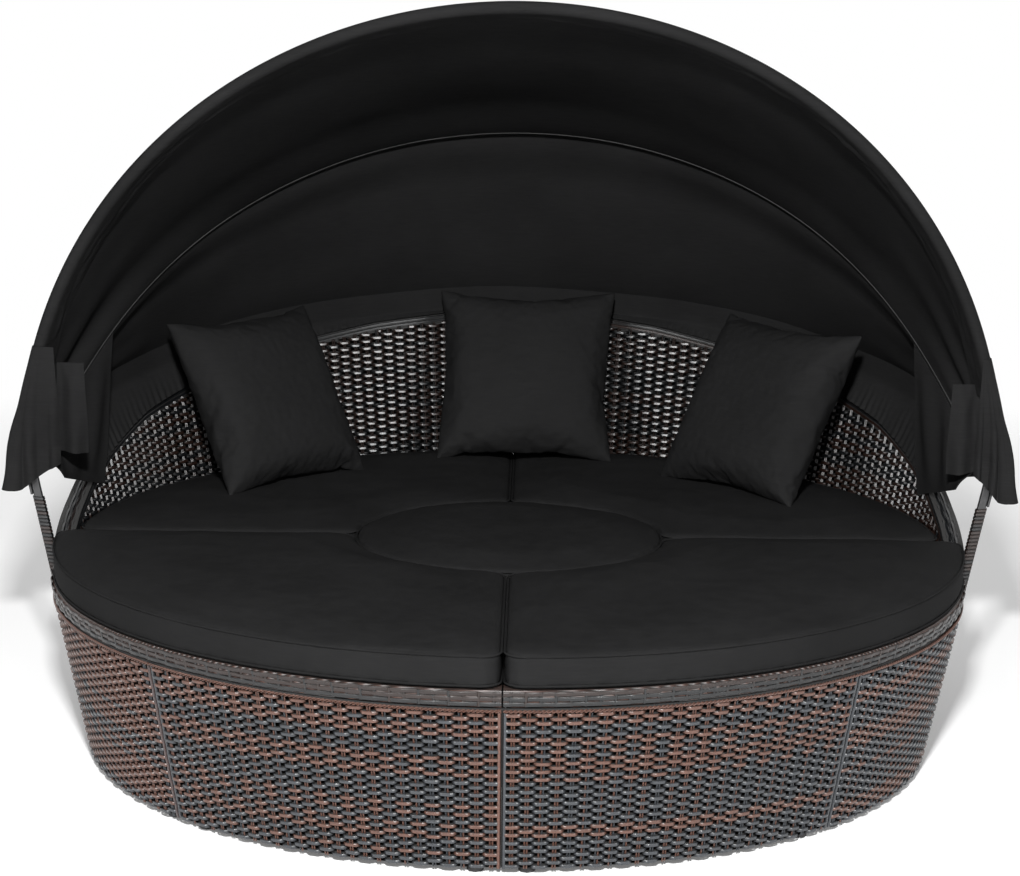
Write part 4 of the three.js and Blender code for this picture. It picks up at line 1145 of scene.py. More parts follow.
def strip_grid(sign, around, down):
    """The narrow strip that hangs from the hem where the cloth is cinched."""
    cloth = bpy.context.scene.daybed_cloth
    place = cloth.strip_place + cloth.side_shift * sign
    drop = STRIP_DROP * (1 + sign)

    def point_at(share, across):
        narrow = STRIP_TOP_SHARE + (1 - STRIP_TOP_SHARE) * min(1.0, share * 1.4)
        x = place + cloth.strip_width * narrow * (0.5 - across)
        curl = STRIP_CURL * math.sin(across * math.pi * 2.2 + 0.4)
        y = cloth.strip_depth + curl * (0.4 + share)
        y += STRIP_UNEVEN * fold_noise(across, share, 3.7, 3.0)
        z = cloth.strip_top + (cloth.strip_bottom - cloth.strip_top) * share - drop
        return Vector((sign * x, y, z - STRIP_UNEVEN * across * share))

    return sheet_points(down, around, point_at)


def rail_lining_grid(down):
    """The lining that comes down inside the rear hoop, gathered along the back's rail."""
    seat = cloth_seat()
    grid = []
    samples = bpy.context.scene.daybed_cloth.skirt_samples
    for k, turn, middle, rear, pull, out, place, wall in rail_places(samples):
        reach = min(LINING_REACH, (rear - middle).length * 0.4)
        start = rear - pull * reach + out * (seat - LINING_TUCK)
        under = rear - out * (seat + LINING_CLEAR) - pull * LINING_CLEAR
        inside = shell_radius(wall) - BACK_THICKNESS - LINING_INSET
        end = Vector(on_round(inside, place, wall + LINING_LIFT))
        column = []
        for i in range(down + 1):
            share = i / down
            if share < LINING_TURN:
                base = start.lerp(under, share / LINING_TURN)
            else:
                base = under.lerp(end, (share - LINING_TURN) / (1 - LINING_TURN))
            radial = Vector((base.x, base.y, 0)).normalized()
            gather = max(0.0, share - 0.5) * 2
            wave = math.sin(k * math.pi / 3.5 + 2 * fold_noise(turn, share, 7.0, 14.0))
            depth = LINING_GATHER * (0.6 + 0.8 * fold_noise(turn, 0, 2.0, 20.0))
            column.append(base + radial * gather * (depth * wave - LINING_LIFT))
        grid.append(column)
    return grid


def drape_grid(sign, along, down):
    """The end of the canopy's lining, which falls from the middle hoop inside the back's end."""
    cloth = bpy.context.scene.daybed_cloth
    middle = hoop_facts()["middle"]
    first, last = cloth.drape_first, cloth.drape_last

    def point_at(share, across):
        turn = math.radians(first + (last - first) * across)
        top = hoop_point(middle, turn if sign > 0 else math.pi - turn)
        top.x = top.x * sign - DRAPE_INSET
        low = cloth.drape_low - cloth.drape_slope * across
        inner = shell_radius(low) - BACK_THICKNESS - DRAPE_CLEAR
        end = Vector((math.sqrt(max(inner ** 2 - top.y ** 2, 0.01)), top.y, low))
        point = top.lerp(end, share)
        fold = 1 + math.sin(across * 17 + share * 2)
        point.x -= DRAPE_FOLD * math.sin(share * math.pi) * fold
        return Vector((sign * point.x, point.y, point.z))

    return sheet_points(down, along, point_at)


def forward_of(lean):
    """The way forwards out of a plane that leans about the pivots."""
    return Vector((0, -math.cos(math.radians(lean)), -math.sin(math.radians(lean))))


def blend_like_cloth(piece, way):
    """Bakes a sheet's place into its mesh; the depth over which the front or rear cloth would fold
    is worked out but not used.
    """
    cloth = bpy.context.scene.daybed_cloth
    if way == "front":
        across = forward_of((FRONT_LEAN + MIDDLE_LEAN) / 2) * cloth.front_blend
    else:
        across = forward_of((MIDDLE_LEAN + hoop_facts()["rear"][2]) / 2) * cloth.rear_blend
    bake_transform(piece)


def sheet(name, grid, body):
    """A finished sheet of the canopy; its flat size is worked out but not kept."""
    piece = cloth_piece(name, grid, body)
    declare_sheet(grid)
    return piece


def make_canopy_cloths():
    piece = sheet("canopy_front_sheet", front_cloth_grid(), None)
    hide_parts("canopy_front_cloth")
    blend_like_cloth(piece, "front")
    piece = sheet("canopy_rear_sheet", rear_cloth_grid(), None)
    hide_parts("canopy_rear_cloth")
    blend_like_cloth(piece, "rear")
    piece = sheet("canopy_gathered_skirt", skirt_grid(14), "base")
    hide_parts("canopy_skirt")
    sheet("rail_lining", rail_lining_grid(16), "base")
    for side_name, sign in SIDES.items():
        grid = flap_grid(sign, 72, 28)
        if sign < 0:
            grid = [row[::-1] for row in grid]
        piece = sheet(f"flounce_{side_name}", grid, "hoop_front_body")
        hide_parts(f"side_flap_{side_name}")
        grid = strip_grid(sign, 20, 24)
        sheet(f"cinch_strip_{side_name}", grid, "hoop_front_body")
        grid = drape_grid(sign, 40, 24)
        piece = sheet(f"lining_end_{side_name}", grid, None)
        foot, head = (Vector(np.mean(grid[row], axis=0)) for row in (-1, 0))
        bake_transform(piece)


def make_hoop_casing():
    """The lining that hides the middle hoop, sewn in two, with piping before its seam."""
    cloth = bpy.context.scene.daybed_cloth
    hoops = hoop_facts()
    halves = {
        "front": np.array(front_cloth_grid())[:, ::-1],
        "rear": np.array(rear_cloth_grid()),
    }
    count = cloth.casing_lines
    seam = []
    for way, rows in halves.items():
        grid = []
        for turn, points in zip(hoop_turns(cloth.hoop_samples), rows):
            front, middle, rear = hoop_frames(turn, hoops)
            seam_out = seam_way(front, middle, rear)
            flat_out = tight_out(middle, front[0] if way == "front" else rear[0])[1]
            row = []
            for i in range(count + 1):
                hug = (1 + math.cos(math.pi * i / count)) / 2
                depth = (2 * cloth_seat() + cloth.thickness) * hug
                inward = np.array(flat_out.lerp(seam_out, hug).normalized())
                row.append(points[i] - inward * depth)
            grid.append(row)
            if way == "front":
                seam.append(row[2] - np.array(seam_out) * SEAM_PIPING_DROP)
        if way == "front":
            grid = [row[::-1] for row in grid]
        piece = sheet(f"middle_hoop_lining_{way}", grid, None)
        blend_like_cloth(piece, way)
    line = np.array(seam)
    along = np.gradient(line, axis=0)
    along /= np.linalg.norm(along, axis=1)[:, None]
    up = np.cross(along, np.array([1.0, 0.2, 0.1]))
    up /= np.linalg.norm(up, axis=1)[:, None]
    out = np.cross(along, up)
    piping = Strands()
    piping.lay(line, out, up, SEAM_PIPING, SEAM_PIPING, 0.5, ROUND_PROFILE_SHARES)
    name = "casing_piping"
    piece = settle(piping.piece(name), name, "hoop_middle_body", piping_finish())
    smooth(piece, 80)


# Cushions and pillows


def quarter_outline(inner, outer, inset, around):
    """The plan of a seat quarter with round corners, drawn in by an inset."""
    points = []

    def corner(radius, grow, far_side, first, last):
        for i in range(around + 1):
            turn = math.radians(first + (last - first) * i / around)
            distance = radius + grow * CUSHION_CORNER * (1 - math.sin(turn))
            lateral = CUSHION_GAP / 2 + inset + CUSHION_CORNER * (1 - math.cos(turn))
            angle = math.degrees(math.asin(lateral / distance))
            points.append((distance, QUARTER - angle if far_side else angle))

    def stretch(radius, first, last, steps):
        for i in range(1, steps):
            points.append((radius, first + (last - first) * i / steps))

    near, far = inner + inset, outer - inset
    corner(far, -1, False, 0, 90)
    end = points[-1][1]
    stretch(far, end, QUARTER - end, 56)
    corner(far, -1, True, 90, 0)
    stretch_side(points, near + CUSHION_CORNER, True, inset, 16)
    corner(near, 1, True, 0, 90)
    end = QUARTER - points[-1][1]
    stretch(near, QUARTER - end, end, 24)
    corner(near, 1, False, 90, 0)
    stretch_side(points, far - CUSHION_CORNER, False, inset, 16)
    return points


def stretch_side(points, to_distance, far_side, inset, steps):
    """Points along a straight side towards the next corner."""
    from_distance = points[-1][0]
    lateral = CUSHION_GAP / 2 + inset
    for i in range(1, steps):
        distance = from_distance + (to_distance - from_distance) * i / steps
        angle = math.degrees(math.asin(lateral / distance))
        points.append((distance, QUARTER - angle if far_side else angle))


# How far in and how high each ring of a cushion lies, as shares of its corner and thickness
CUSHION_RING_SHARES = (
    (0.20, 0.0), (0.06, 0.035), (0.02, 0.10), (0.03, 0.2), (0.05, 0.35), (0.06, 0.5),
    (0.05, 0.65), (0.02, 0.79), (0.02, 0.85), (0.10, 0.905), (0.35, 0.945), (0.9, 0.97),
    (2.0, 0.99), (3.4, 1.0),
)
# The rings that carry the upper and the lower welt
WELT_RINGS = (8, 2)


def cushion_rings(outline_at):
    rings = []
    for inset_share, height_share in CUSHION_RING_SHARES:
        outline = outline_at(inset_share * CUSHION_CORNER)
        height = CUSHION_BOTTOM + CUSHION_THICKNESS * height_share
        rings.append([on_round(radius, angle, height) for radius, angle in outline])
    return np.array(rings)


def closed_stack(name, rings):
    """A closed form from stacked rings, its ends filled."""
    faces = grid_faces(rings.shape[0], rings.shape[1], closed_columns=True)
    piece = raw_piece(name, rings, faces)
    make_active(piece)
    bpy.ops.object.mode_set(mode="EDIT")
    bpy.ops.mesh.select_all(action="DESELECT")
    bpy.ops.mesh.select_non_manifold()
    bpy.ops.mesh.edge_face_add()
    bpy.ops.mesh.select_all(action="SELECT")
    bpy.ops.mesh.normals_make_consistent(inside=False)
    bpy.ops.object.mode_set(mode="OBJECT")
    return piece


def remesh(piece, voxel):
    make_active(piece)
    even = piece.modifiers.new("remesh", "REMESH")
    even.mode = "VOXEL"
    even.voxel_size = voxel
    bpy.ops.object.modifier_apply(modifier=even.name)


def inflate(piece, pressure, frames, quality, stretch, shear, bend, held=""):
    """Blows a closed form up as a cloth with air in it."""
    make_active(piece)
    cloth = piece.modifiers.new("cloth", "CLOTH")
    settings = cloth.settings
    settings.quality = quality
    settings.use_pressure = True
    settings.uniform_pressure_force = pressure
    settings.effector_weights.gravity = 0
    settings.tension_stiffness = stretch
    settings.compression_stiffness = stretch
    settings.shear_stiffness = shear
    settings.bending_stiffness = bend
    settings.vertex_group_mass = held
    scene = bpy.context.scene
    for step in range(1, frames + 1):
        scene.frame_set(step)
    bpy.ops.object.modifier_apply(modifier=cloth.name)
    scene.frame_set(1)


def fill_out(piece, pressure, cap, held):
    """Swells a pad like stuffed cloth, holds its welts and keeps each point near its start."""
    start = points_of(piece)
    group = piece.vertex_groups.new(name="held")
    group.add(np.nonzero(held(start))[0].tolist(), 1.0, "REPLACE")
    inflate(piece, pressure, 20, 4, 12, 4, 0.4, group.name)
    shift = points_of(piece) - start
    length = np.linalg.norm(shift, axis=1)
    scale = np.minimum(1.0, cap / np.maximum(length, 1e-9))
    set_points(piece, start + shift * scale[:, None])
    piece.vertex_groups.clear()


def points_of(piece):
    values = np.empty(len(piece.data.vertices) * 3, np.float32)
    piece.data.vertices.foreach_get("co", values)
    return values.reshape(-1, 3)


def set_points(piece, points):
    piece.data.vertices.foreach_set("co", np.asarray(points, np.float32).ravel())
    piece.data.update()


def subdivide(piece):
    make_active(piece)
    rounded = piece.modifiers.new("rounded", "SUBSURF")
    rounded.levels = 1
    bpy.ops.object.modifier_apply(modifier=rounded.name)


def piping_loop(strands, line, width):
    """Round piping along a closed line."""
    line = np.concatenate([line, line[:1]])
    along = np.gradient(line, axis=0)
    along /= np.linalg.norm(along, axis=1)[:, None]
    up = np.broadcast_to(np.array([0, 0, 1.0]), line.shape)
    out = np.cross(along, up)
    strands.lay(line, -out, up, width, width, 0.5, ROUND_PROFILE_SHARES)


def finish_pad(piece, node, body):
    """Gives a pad its cover, in place of a node."""
    settle(piece, f"padded_{node}", body, cushion_finish())
    bpy.ops.object.shade_smooth()
    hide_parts(node)


def soften_top(piece, seed, depth):
    """Shallow dents and swells over a cushion's top."""
    points = points_of(piece)
    top = np.clip((points[:, 2] - CUSHION_BOTTOM) / CUSHION_THICKNESS, 0, 1) ** 3
    for i, point in enumerate(points):
        lift = noise.noise(Vector((point[0] * 5, point[1] * 5, seed)))
        lift += 0.4 * noise.noise(Vector((point[0] * 14, point[1] * 14, seed + 3)))
        points[i, 2] += depth * top[i] * lift
    set_points(piece, points)


def make_seat_cushions():
    cloth = bpy.context.scene.daybed_cloth
    bodies = {
        "front_right": "cushion_front_right_body",
        "front_left": "cushion_front_left_body",
        "rear_right": "base",
        "rear_left": "base",
    }
    for index, name in enumerate(QUARTER_NAMES):
        outer = FRONT_CUSHION_RADIUS if name.startswith("front") else REAR_CUSHION_RADIUS
        start = index * QUARTER - QUARTER

        def outline_at(inset, outer=outer, start=start):
            outline = quarter_outline(CENTRE_RADIUS, outer, inset, 8)
            return [(radius, start + angle) for radius, angle in outline]

        node = f"seat_cushion_{name}"
        make_cushion(node, bodies[name], cushion_rings(outline_at), index, cloth)

    def round_outline(inset):
        return [(CENTRE_RADIUS - inset, angle) for angle in np.linspace(0, FULL_TURN, 97)[:-1]]

    make_cushion("centre_cushion", "centre_cushion_body", cushion_rings(round_outline), 9, cloth)


def make_cushion(node, body, rings, seed, cloth):
    piece = closed_stack(node, rings)
    remesh(piece, cloth.voxel)
    low = CUSHION_BOTTOM + CUSHION_THICKNESS * HELD_FOOT_SHARE
    edge = CUSHION_BOTTOM + CUSHION_THICKNESS * HELD_WELT_SHARE

    def held(points):
        return (points[:, 2] < low) | (np.abs(points[:, 2] - edge) < cloth.voxel * 0.6)

    fill_out(piece, cloth.seat_pressure, cloth.seat_cap, held)
    soften_top(piece, seed, TOP_DENTS)
    subdivide(piece)
    points = points_of(piece)
    points[:, 2] = np.clip(points[:, 2], CUSHION_BOTTOM, CUSHION_TOP + CROWN_LIMIT)
    set_points(piece, points)
    finish_pad(piece, node, body)
    strands = Strands()
    for ring in WELT_RINGS:
        piping_loop(strands, rings[ring], cloth.piping)
    name = f"padded_{node}_piping"
    smooth(settle(strands.piece(name), name, body, cushion_finish()), 80)


def pillow_loft(points, half):
    """A share that rises from a square's edges to 1 at its middle."""
    x, y = points[:, 0] / half, points[:, 1] / half
    return np.sqrt(np.clip((1 - x ** 2) * (1 - y ** 2), 0, 1))


def pillow_blank(name, seed):
    """Two squares of cloth sewn round their edge, lying flat with a little air between them."""
    deselect()
    bpy.ops.mesh.primitive_grid_add(
        x_subdivisions=PILLOW_CELLS, y_subdivisions=PILLOW_CELLS, size=1.0, location=(0, 0, 0))
    piece = bpy.context.object
    cloth = bpy.context.scene.daybed_cloth
    bpy.ops.object.mode_set(mode="EDIT")
    bpy.ops.mesh.select_all(action="SELECT")
    bpy.ops.transform.resize(value=(cloth.pillow_cut, cloth.pillow_cut, 1.0))
    bpy.ops.object.mode_set(mode="OBJECT")
    solid = piece.modifiers.new("two_sheets", "SOLIDIFY")
    solid.thickness = PILLOW_BLANK_THICKNESS
    solid.offset = 0
    bpy.ops.object.modifier_apply(modifier=solid.name)
    points = points_of(piece)
    rng = np.random.default_rng(seed)
    half = cloth.pillow_cut / 2
    loft = pillow_loft(points, half)
    points[:, 2] = np.sign(points[:, 2]) * (PILLOW_HEM + cloth.pillow_start * loft)
    points[:, 2] += rng.uniform(-0.001, 0.001, len(points))
    for axis in (0, 1):
        other = 1 - axis
        pull = cloth.pillow_bow * (1 - (points[:, other] / half) ** 2)
        points[:, axis] *= 1 - pull * (np.abs(points[:, axis]) / half) ** 2
    set_points(piece, points)
    piece.name = name
    return piece


def make_pillows():
    cloth = bpy.context.scene.daybed_cloth
    for index, (side_name, (turn, reach, lean)) in enumerate(PILLOW_PLACES.items()):
        name = f"pillow_{side_name}"
        piece = pillow_blank(name, index)
        inflate(piece, cloth.pillow_pressure, 27, 6, 40, 13, 0.2)
        points = points_of(piece)
        span = points.max(0) - points.min(0)
        points -= (points.max(0) + points.min(0)) / 2
        points[:, :2] *= PILLOW_SIZE / span[:2].max()
        points[:, 2] *= PILLOW_THICKNESS / span[2] * PILLOW_FULL_SHARE
        tilt = Matrix.Rotation(math.radians(QUARTER - lean), 4, "X")
        points = points @ np.array(tilt.to_3x3()).T
        points[:, 1] += reach - points[:, 1].min() - PILLOW_THICKNESS / 2
        points[:, 2] += CUSHION_TOP + FIT_GAP - points[:, 2].min()
        spin = Matrix.Rotation(math.radians(turn), 4, "Z")
        points = points @ np.array(spin.to_3x3()).T
        set_points(piece, points)
        subdivide(piece)
        finish_pad(piece, name, f"{name}_body")


# Hardware


def finish_cad_nodes():
    weave = bpy.context.scene.daybed_weave
    flat_weave = material("flat_weave", flat_weave_material, weave)
    zinc = material("bright_zinc", zinc_material)
    plastic = material("black_moulded_plastic", plastic_material)
    finishes = {
        steel_finish(): STEEL_NODES,
        zinc: ("pivot_bolt",),
        plastic: ("lock_knob",),
        flat_weave: ("seat_deck", "well_panel", "table_top"),
        strands_finish(): ("post_wrap",),
    }
    for finish, starts in finishes.items():
        for name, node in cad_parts.items():
            if name.startswith(starts):
                for slot in node.material_slots:
                    slot.link = "OBJECT"
                    slot.material = finish


def wind_posts():
    """Flat strand wound round the upper half of each canopy post."""
    for side_name, sign in SIDES.items():
        low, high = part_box(f"post_wrap_{side_name}")
        strands = Strands()
        rng = random.Random(f"post{side_name}")
        weave = bpy.context.scene.daybed_weave
        turns = int((high.z - low.z + POST_WRAP_RISE) / weave.wrap_pitch)
        half = POST_TUBE / 2 + POST_STAND_OFF
        for turn in range(turns):
            heights = low.z + (turn + np.linspace(0.1, 0.95, 17)) * weave.wrap_pitch
            angles = np.linspace(0, FULL_TURN, 17)
            corner = np.radians(angles)
            square = half * (np.abs(np.cos(corner)) ** 6 + np.abs(np.sin(corner)) ** 6) ** (-1 / 6)
            centre = shell_radius(heights) + POST_STAND_OFF + POST_TUBE / 2
            line = np.stack([
                sign * (centre + square * np.cos(corner)),
                square * np.sin(corner),
                heights,
            ], -1)
            out = np.stack([sign * np.cos(corner), np.sin(corner), 0 * corner], -1)
            up = np.array([sign * CONE_SLOPE, 0, 1.0])
            if sign < 0:
                line, out = line[::-1], out[::-1]
            width = weave.wrap_pitch * 0.9
            strands.lay(line, out, up, width, POST_STRAND_THICKNESS, chance_tone(rng))
        node = f"post_wrap_{side_name}"
        piece = settle(strands.piece(node), f"wound_{node}", "base", back_strands_finish())
        smooth(piece)
        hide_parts(node)


# Stage


KEY_PLACE = (-0.05, -4.8, 2.75)
SIDE_PLACE = (3.6, -1.6, 1.6)
SHINE_PLACE = (3.4, -4.4, 2.1)


def aim(name, place, target_height, size, power):
    """A flat white lamp that looks at the daybed's axis at a height."""
    deselect()
    bpy.ops.object.light_add(type="AREA", location=place)
    lamp = bpy.context.object
    lamp.name = name
    lamp.data.shape = "RECTANGLE"
    lamp.data.size, lamp.data.size_y = size
    lamp.data.energy = power
    way = Vector((0, 0, target_height)) - Vector(place)
    lamp.rotation_euler = way.to_track_quat("-Z", "Y").to_euler()
    return lamp


def set_world(stage):
    """White where it is seen, straight or in a shine, and dimmer as a light on dull faces."""
    world = bpy.data.worlds.new("studio")
    bpy.context.scene.world = world
    nodes = Nodes(world)
    straight, through, mirrored = (
        nodes.add("ShaderNodeLightPath", output=f"Is {way} Ray")
        for way in ("Camera", "Transmission", "Glossy")
    )
    seen = straight.most(through).most(mirrored)
    ends = {"Value": seen, "To Min": stage.world_strength, "To Max": 1.0}
    strength = nodes.add("ShaderNodeMapRange", inputs=ends)
    sky = nodes.add("ShaderNodeBackground", inputs={"Color": (1, 1, 1, 1), "Strength": strength})
    nodes.add("ShaderNodeOutputWorld", inputs={"Surface": sky})


def set_stage():
    stage = bpy.context.scene.daybed_stage
    deselect()
    bpy.ops.mesh.primitive_circle_add(
        vertices=96, radius=stage.floor_radius, fill_type="NGON", location=(0, 0, 0))
    floor = bpy.context.object
    floor.name = "floor"
    floor.data.materials.append(floor_material(stage))
    set_world(stage)
    bpy.context.scene.view_settings.view_transform = "Standard"
    aim("key_light", KEY_PLACE, 0.4, (0.3, 0.2), stage.key_power)
    for side_name, sign in reversed(SIDES.items()):
        across, front, height = SIDE_PLACE
        aim(f"{side_name}_light", (across * sign, front, height), 0.3, (0.5, 1.6), stage.side_power)
    for side_name, sign in SIDES.items():
        across, front, height = SHINE_PLACE
        place = (across * sign, front, height)
        shine = aim(f"shine_{side_name}", place, 0.6, (2.6, 0.7), stage.shine_power)
        shine.visible_diffuse = False
    place_camera(stage)


def place_camera(stage):
    deselect()
    turn = math.radians(stage.camera_turn)
    reach = stage.camera_distance
    place = (reach * math.sin(turn), -reach * math.cos(turn), stage.camera_height)
    bpy.ops.object.camera_add(location=place)
    camera = bpy.context.object
    camera.name = "camera"
    camera.data.sensor_width = 36.0
    camera.data.lens = stage.lens
    spin = (
        Matrix.Rotation(turn, 4, "Z")
        @ Matrix.Rotation(math.radians(QUARTER - stage.camera_dip), 4, "X")
        @ Matrix.Rotation(math.radians(stage.camera_roll), 4, "Z")
    )
    camera.rotation_euler = spin.to_euler()
    bpy.context.scene.camera = camera


# Settings


def number_setting(name, description, default, **more):
    return bpy.props.FloatProperty(name=name, description=description, default=default, **more)


def length_setting(name, description, default):
    return number_setting(name, description, default, unit="LENGTH")


def count_setting(name, description, default):
    return bpy.props.IntProperty(name=name, description=description, default=default)


def colour_setting(name, description, default):
    return bpy.props.FloatVectorProperty(
        name=name, description=description, default=default, subtype="COLOR", size=3)


class DaybedWeave(bpy.types.PropertyGroup):
    """Sizes and colours of the woven strands"""
    strand_roughness: number_setting(
        "Strand Roughness", "Least roughness of the base's strands", 0.28)
    back_roughness: number_setting("Back Roughness", "Least roughness of the back's strands", 0.26)
    strand_width: length_setting("Strand Width", "Width of a flat woven strand", 0.0071)
    strand_thickness: length_setting("Strand Thickness", "Thickness of a flat strand", 0.0022)
    row_pitch: length_setting("Row Pitch", "Height of one woven row", 0.0076)
    stake_pitch: length_setting("Stake Pitch", "Distance between upright stakes", 0.0256)
    stake_width: length_setting("Stake Width", "Thickness of one strand of a stake", 0.0034)
    stake_spread: length_setting(
        "Stake Spread", "Half the distance between a stake's two strands", 0.0022)
    weave_depth: length_setting("Weave Depth", "How far a row swings out and in", 0.0040)
    stand_off: length_setting(
        "Stand Off", "How far the stakes stand out of the frame's face", 0.0006)
    drift: length_setting("Row Drift", "How far a row wanders up and down", 0.0006)
    edge_width: length_setting("Edge Width", "Thickness of the twisted edging", 0.0036)
    edge_turn: length_setting("Edge Turn", "Length of one turn of the twisted edging", 0.016)
    rim_wrap_pitch: length_setting(
        "Rim Wrap Pitch", "Distance between the rim band's wraps", 0.0256)
    wrap_pitch: length_setting("Post Wrap Pitch", "Rise of one turn round a post", 0.0075)
    hump_share: number_setting("Hump Share", "Lower makes longer humps and quicker dips", 0.2)
    samples_per_stake: count_setting("Samples per Stake", "Points of a row from stake to stake", 8)
    rim_samples: count_setting("Rim Samples", "Points along one quarter of the rim band", 281)
    warm_left: number_setting(
        "Warm Left", "Share of copper rows on the left", 0.62, subtype="FACTOR")
    warm_right: number_setting(
        "Warm Right", "Share of copper rows on the right", 0.42, subtype="FACTOR")
    copper: colour_setting("Copper", "Light of the copper strands", (0.155, 0.0715, 0.0495))
    copper_dark: colour_setting("Copper Dark", "Dark of the copper strands", (0.036, 0.015, 0.0105))
    slate: colour_setting("Slate", "Light of the slate strands", (0.053, 0.0587, 0.0667))
    slate_dark: colour_setting("Slate Dark", "Dark of the slate strands", (0.011, 0.0125, 0.0155))


class DaybedCloth(bpy.types.PropertyGroup):
    """Sizes and colours of the canopy, the cushions and the pillows"""
    thickness: length_setting("Cloth Thickness", "Thickness of the canopy cloth", 0.0016)
    sag: length_setting("Sag", "How far the canopy sags between its hoops", 0.014)
    hem_depth: length_setting("Hem Depth", "Depth of the band inside the front hoop", 0.065)
    hem_ripple: length_setting("Hem Ripple", "Depth of the hem band's wrinkles", 0.008)
    fold_depth: length_setting("Fold Depth", "Depth of the folds near the pivots", 0.006)
    drift: length_setting("Cloth Drift", "Unevenness of the stretched cloth", 0.006)
    skirt_drop: length_setting("Skirt Drop", "How far the skirt hangs below the rail", 0.084)
    pleat_depth: length_setting("Pleat Depth", "Depth of the skirt's gathers", 0.007)
    flap_fold: length_setting("Flap Fold", "Depth of the side flounces' folds", 0.009)
    flap_rise: length_setting("Flap Rise", "How much higher a flounce ends inside", 0.052)
    flap_edge: length_setting("Flap Edge", "Flounces' inner edges from the middle", 0.902)
    flap_lap: length_setting("Flap Lap", "How far a flounce laps up over the hoop's sleeve", 0.05)
    flap_flare: length_setting("Flap Flare", "How far a flounce stands out at its foot", 0.016)
    side_shift: length_setting("Side Shift", "How far the hanging corners sit to the right", 0.014)
    strip_width: length_setting("Strip Width", "Width of the cinch strips", 0.064)
    strip_place: length_setting("Strip Place", "Cinch strips' distance from the middle", 0.882)
    strip_depth: length_setting("Strip Depth", "How far back the cinch strips hang", -0.01)
    strip_top: length_setting("Strip Top", "Height of a cinch strip's top", 0.750)
    strip_bottom: length_setting("Strip Bottom", "Height of a cinch strip's end", 0.572)
    drape_first: number_setting(
        "Lining First", "Where along the hoop the lining's end begins, in degrees", 0.5)
    drape_last: number_setting(
        "Lining Last", "Where along the hoop the lining's end stops, in degrees", 21.0)
    drape_low: length_setting("Lining Low", "Height of the lining's front corner", 0.515)
    drape_slope: length_setting("Lining Slope", "How much lower the lining's rear corner is", 0.06)
    casing_lines: count_setting(
        "Casing Lines", "Rows of points each side of the middle hoop's seam", 14)
    front_blend: length_setting(
        "Front Blend", "Half the depth over which the front cloth folds", 0.30)
    rear_blend: length_setting("Rear Blend", "Half the depth over which the rear cloth folds", 0.20)
    hem_lines: count_setting("Hem Lines", "Rows of points in the hem", 8)
    sleeve_lines: count_setting("Sleeve Lines", "Rows of points round the front hoop", 10)
    hoop_samples: count_setting("Hoop Samples", "Points along a hoop", 249)
    span_samples: count_setting("Span Samples", "Points from hoop to hoop", 48)
    skirt_samples: count_setting("Skirt Samples", "Points along the skirt", 900)
    voxel: length_setting("Voxel", "Size of the cushions' simulated cloth cells", 0.0105)
    seat_pressure: number_setting("Seat Pressure", "Stuffing pressure of the seat cushions", 4.0)
    seat_cap: length_setting("Seat Cap", "Furthest that the seat cushions swell", 0.008)
    pillow_cut: length_setting("Pillow Cut", "Side of a pillow's flat cut", 0.43)
    pillow_bow: number_setting("Pillow Bow", "How far a pillow's sides are cut in", 0.01)
    pillow_pressure: number_setting("Pillow Pressure", "Stuffing pressure of the pillows", 1.15)
    pillow_start: length_setting("Pillow Start", "Half a pillow's loft before it is stuffed", 0.02)
    piping: length_setting("Piping", "Thickness of the cushions' piping", 0.0045)
    piping_colour: colour_setting(
        "Piping Colour", "Colour of the canopy's seam piping", (0.035, 0.035, 0.035))
    canopy_colour: colour_setting(
        "Canopy Colour", "Colour of the canopy cloth", (0.0148, 0.0148, 0.0150))
    cushion_colour: colour_setting(
        "Cushion Colour", "Colour of the cushion covers", (0.0122, 0.0122, 0.0124))


class DaybedStage(bpy.types.PropertyGroup):
    """Camera, floor and lights"""
    camera_distance: length_setting(
        "Camera Distance", "Camera's distance from the daybed's axis", 5.452)
    camera_height: length_setting("Camera Height", "Camera's height over the floor", 1.680)
    camera_turn: number_setting("Camera Turn", "Camera's turn to the right, in degrees", 0.5)
    camera_dip: number_setting("Camera Dip", "How far the camera looks down, in degrees", 11.12)
    camera_roll: number_setting("Camera Roll", "Camera's roll, in degrees", 0.66)
    lens: number_setting("Lens", "Focal length in millimetres", 99.07)
    floor_radius: length_setting("Floor Radius", "Radius of the floor", 4.2)
    floor_glow: number_setting("Floor Glow", "Light that the floor gives by itself", 0.15)
    floor_colour: colour_setting("Floor Colour", "Colour of the floor", (0.94, 0.94, 0.94))
    world_strength: number_setting("World Strength", "Light from all round", 0.46)
    key_power: number_setting("Key Power", "Power of the front light", 415.0, unit="POWER")
    side_power: number_setting("Side Power", "Power of each side light", 4.0, unit="POWER")
    shine_power: number_setting(
        "Shine Power", "Power of each wide light that only the shine shows", 500.0, unit="POWER")


# Operators


class WeaveBase(bpy.types.Operator):
    """Weaves the base's eight outer panels"""
    bl_idname = "daybed.weave_base"
    bl_label = "Weave Base"

    def execute(self, context):
        for index, name in enumerate(PANEL_NAMES):
            weave_outer_panel(index, name)
        return {"FINISHED"}


class WeaveRim(bpy.types.Operator):
    """Binds the rim of the four seat quarters"""
    bl_idname = "daybed.weave_rim"
    bl_label = "Weave Rim"

    def execute(self, context):
        for index, name in enumerate(QUARTER_NAMES):
            weave_rim_band(index, name)
        return {"FINISHED"}


class WeaveBack(bpy.types.Operator):
    """Weaves the back's inner and outer faces and winds its rail"""
    bl_idname = "daybed.weave_back"
    bl_label = "Weave Back"

    def execute(self, context):
        for side_name in SIDES:
            weave_back(side_name)
            wrap_rail(side_name)
        return {"FINISHED"}


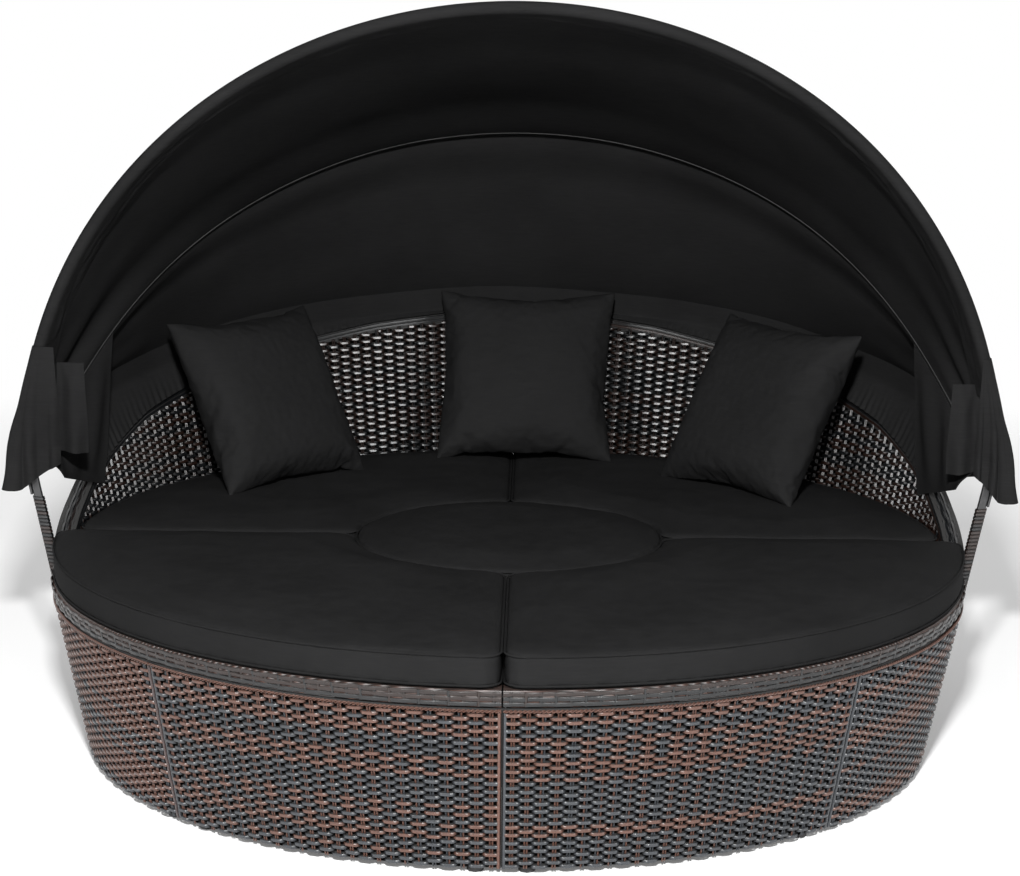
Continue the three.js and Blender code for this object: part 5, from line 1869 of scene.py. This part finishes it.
class WindPosts(bpy.types.Operator):
    """Winds flat strand round the canopy posts"""
    bl_idname = "daybed.wind_posts"
    bl_label = "Wind Posts"

    def execute(self, context):
        wind_posts()
        return {"FINISHED"}


class FinishHardware(bpy.types.Operator):
    """Gives the frames, hoops, table and fittings their finishes"""
    bl_idname = "daybed.finish_hardware"
    bl_label = "Finish Hardware"

    def execute(self, context):
        finish_cad_nodes()
        return {"FINISHED"}


class UpholsterSeat(bpy.types.Operator):
    """Makes the four seat cushions and the centre cushion"""
    bl_idname = "daybed.upholster_seat"
    bl_label = "Upholster Seat"

    def execute(self, context):
        make_seat_cushions()
        return {"FINISHED"}


class StuffPillows(bpy.types.Operator):
    """Sews, fills and places the three pillows"""
    bl_idname = "daybed.stuff_pillows"
    bl_label = "Stuff Pillows"

    def execute(self, context):
        make_pillows()
        return {"FINISHED"}


class HangCanopy(bpy.types.Operator):
    """Hangs the canopy's cloths, skirt, flounces and casing"""
    bl_idname = "daybed.hang_canopy"
    bl_label = "Hang Canopy"

    def execute(self, context):
        make_canopy_cloths()
        make_hoop_casing()
        return {"FINISHED"}


class SetStage(bpy.types.Operator):
    """Sets the floor, backdrop, lights and camera"""
    bl_idname = "daybed.set_stage"
    bl_label = "Set Stage"

    def execute(self, context):
        set_stage()
        return {"FINISHED"}


STEPS = (
    WeaveBase, WeaveRim, WeaveBack, WindPosts, FinishHardware,
    UpholsterSeat, StuffPillows, HangCanopy, SetStage,
)
GROUPS = {"daybed_weave": DaybedWeave, "daybed_cloth": DaybedCloth, "daybed_stage": DaybedStage}


class DaybedPanel(bpy.types.Panel):
    """The daybed's steps and sizes"""
    bl_label = "Daybed"
    bl_idname = "VIEW3D_PT_daybed"
    bl_space_type = "VIEW_3D"
    bl_region_type = "UI"
    bl_category = "Daybed"

    def draw(self, context):
        for step in STEPS:
            self.layout.operator(step.bl_idname)
        for key, group in GROUPS.items():
            box = self.layout.box()
            for name in group.__annotations__:
                box.prop(getattr(context.scene, key), name)


CLASSES = (*GROUPS.values(), *STEPS, DaybedPanel)


def register():
    for made in CLASSES:
        bpy.utils.register_class(made)
    for key, group in GROUPS.items():
        setattr(bpy.types.Scene, key, bpy.props.PointerProperty(type=group))


def unregister():
    for key in GROUPS:
        delattr(bpy.types.Scene, key)
    for made in reversed(CLASSES):
        bpy.utils.unregister_class(made)


def main():
    register()
    bpy.ops.daybed.set_stage()
    bpy.ops.daybed.weave_base()
    bpy.ops.daybed.weave_rim()
    bpy.ops.daybed.weave_back()
    bpy.ops.daybed.wind_posts()
    bpy.ops.daybed.finish_hardware()
    bpy.ops.daybed.upholster_seat()
    bpy.ops.daybed.stuff_pillows()
    bpy.ops.daybed.hang_canopy()


if __name__ == "__main__":
    main()
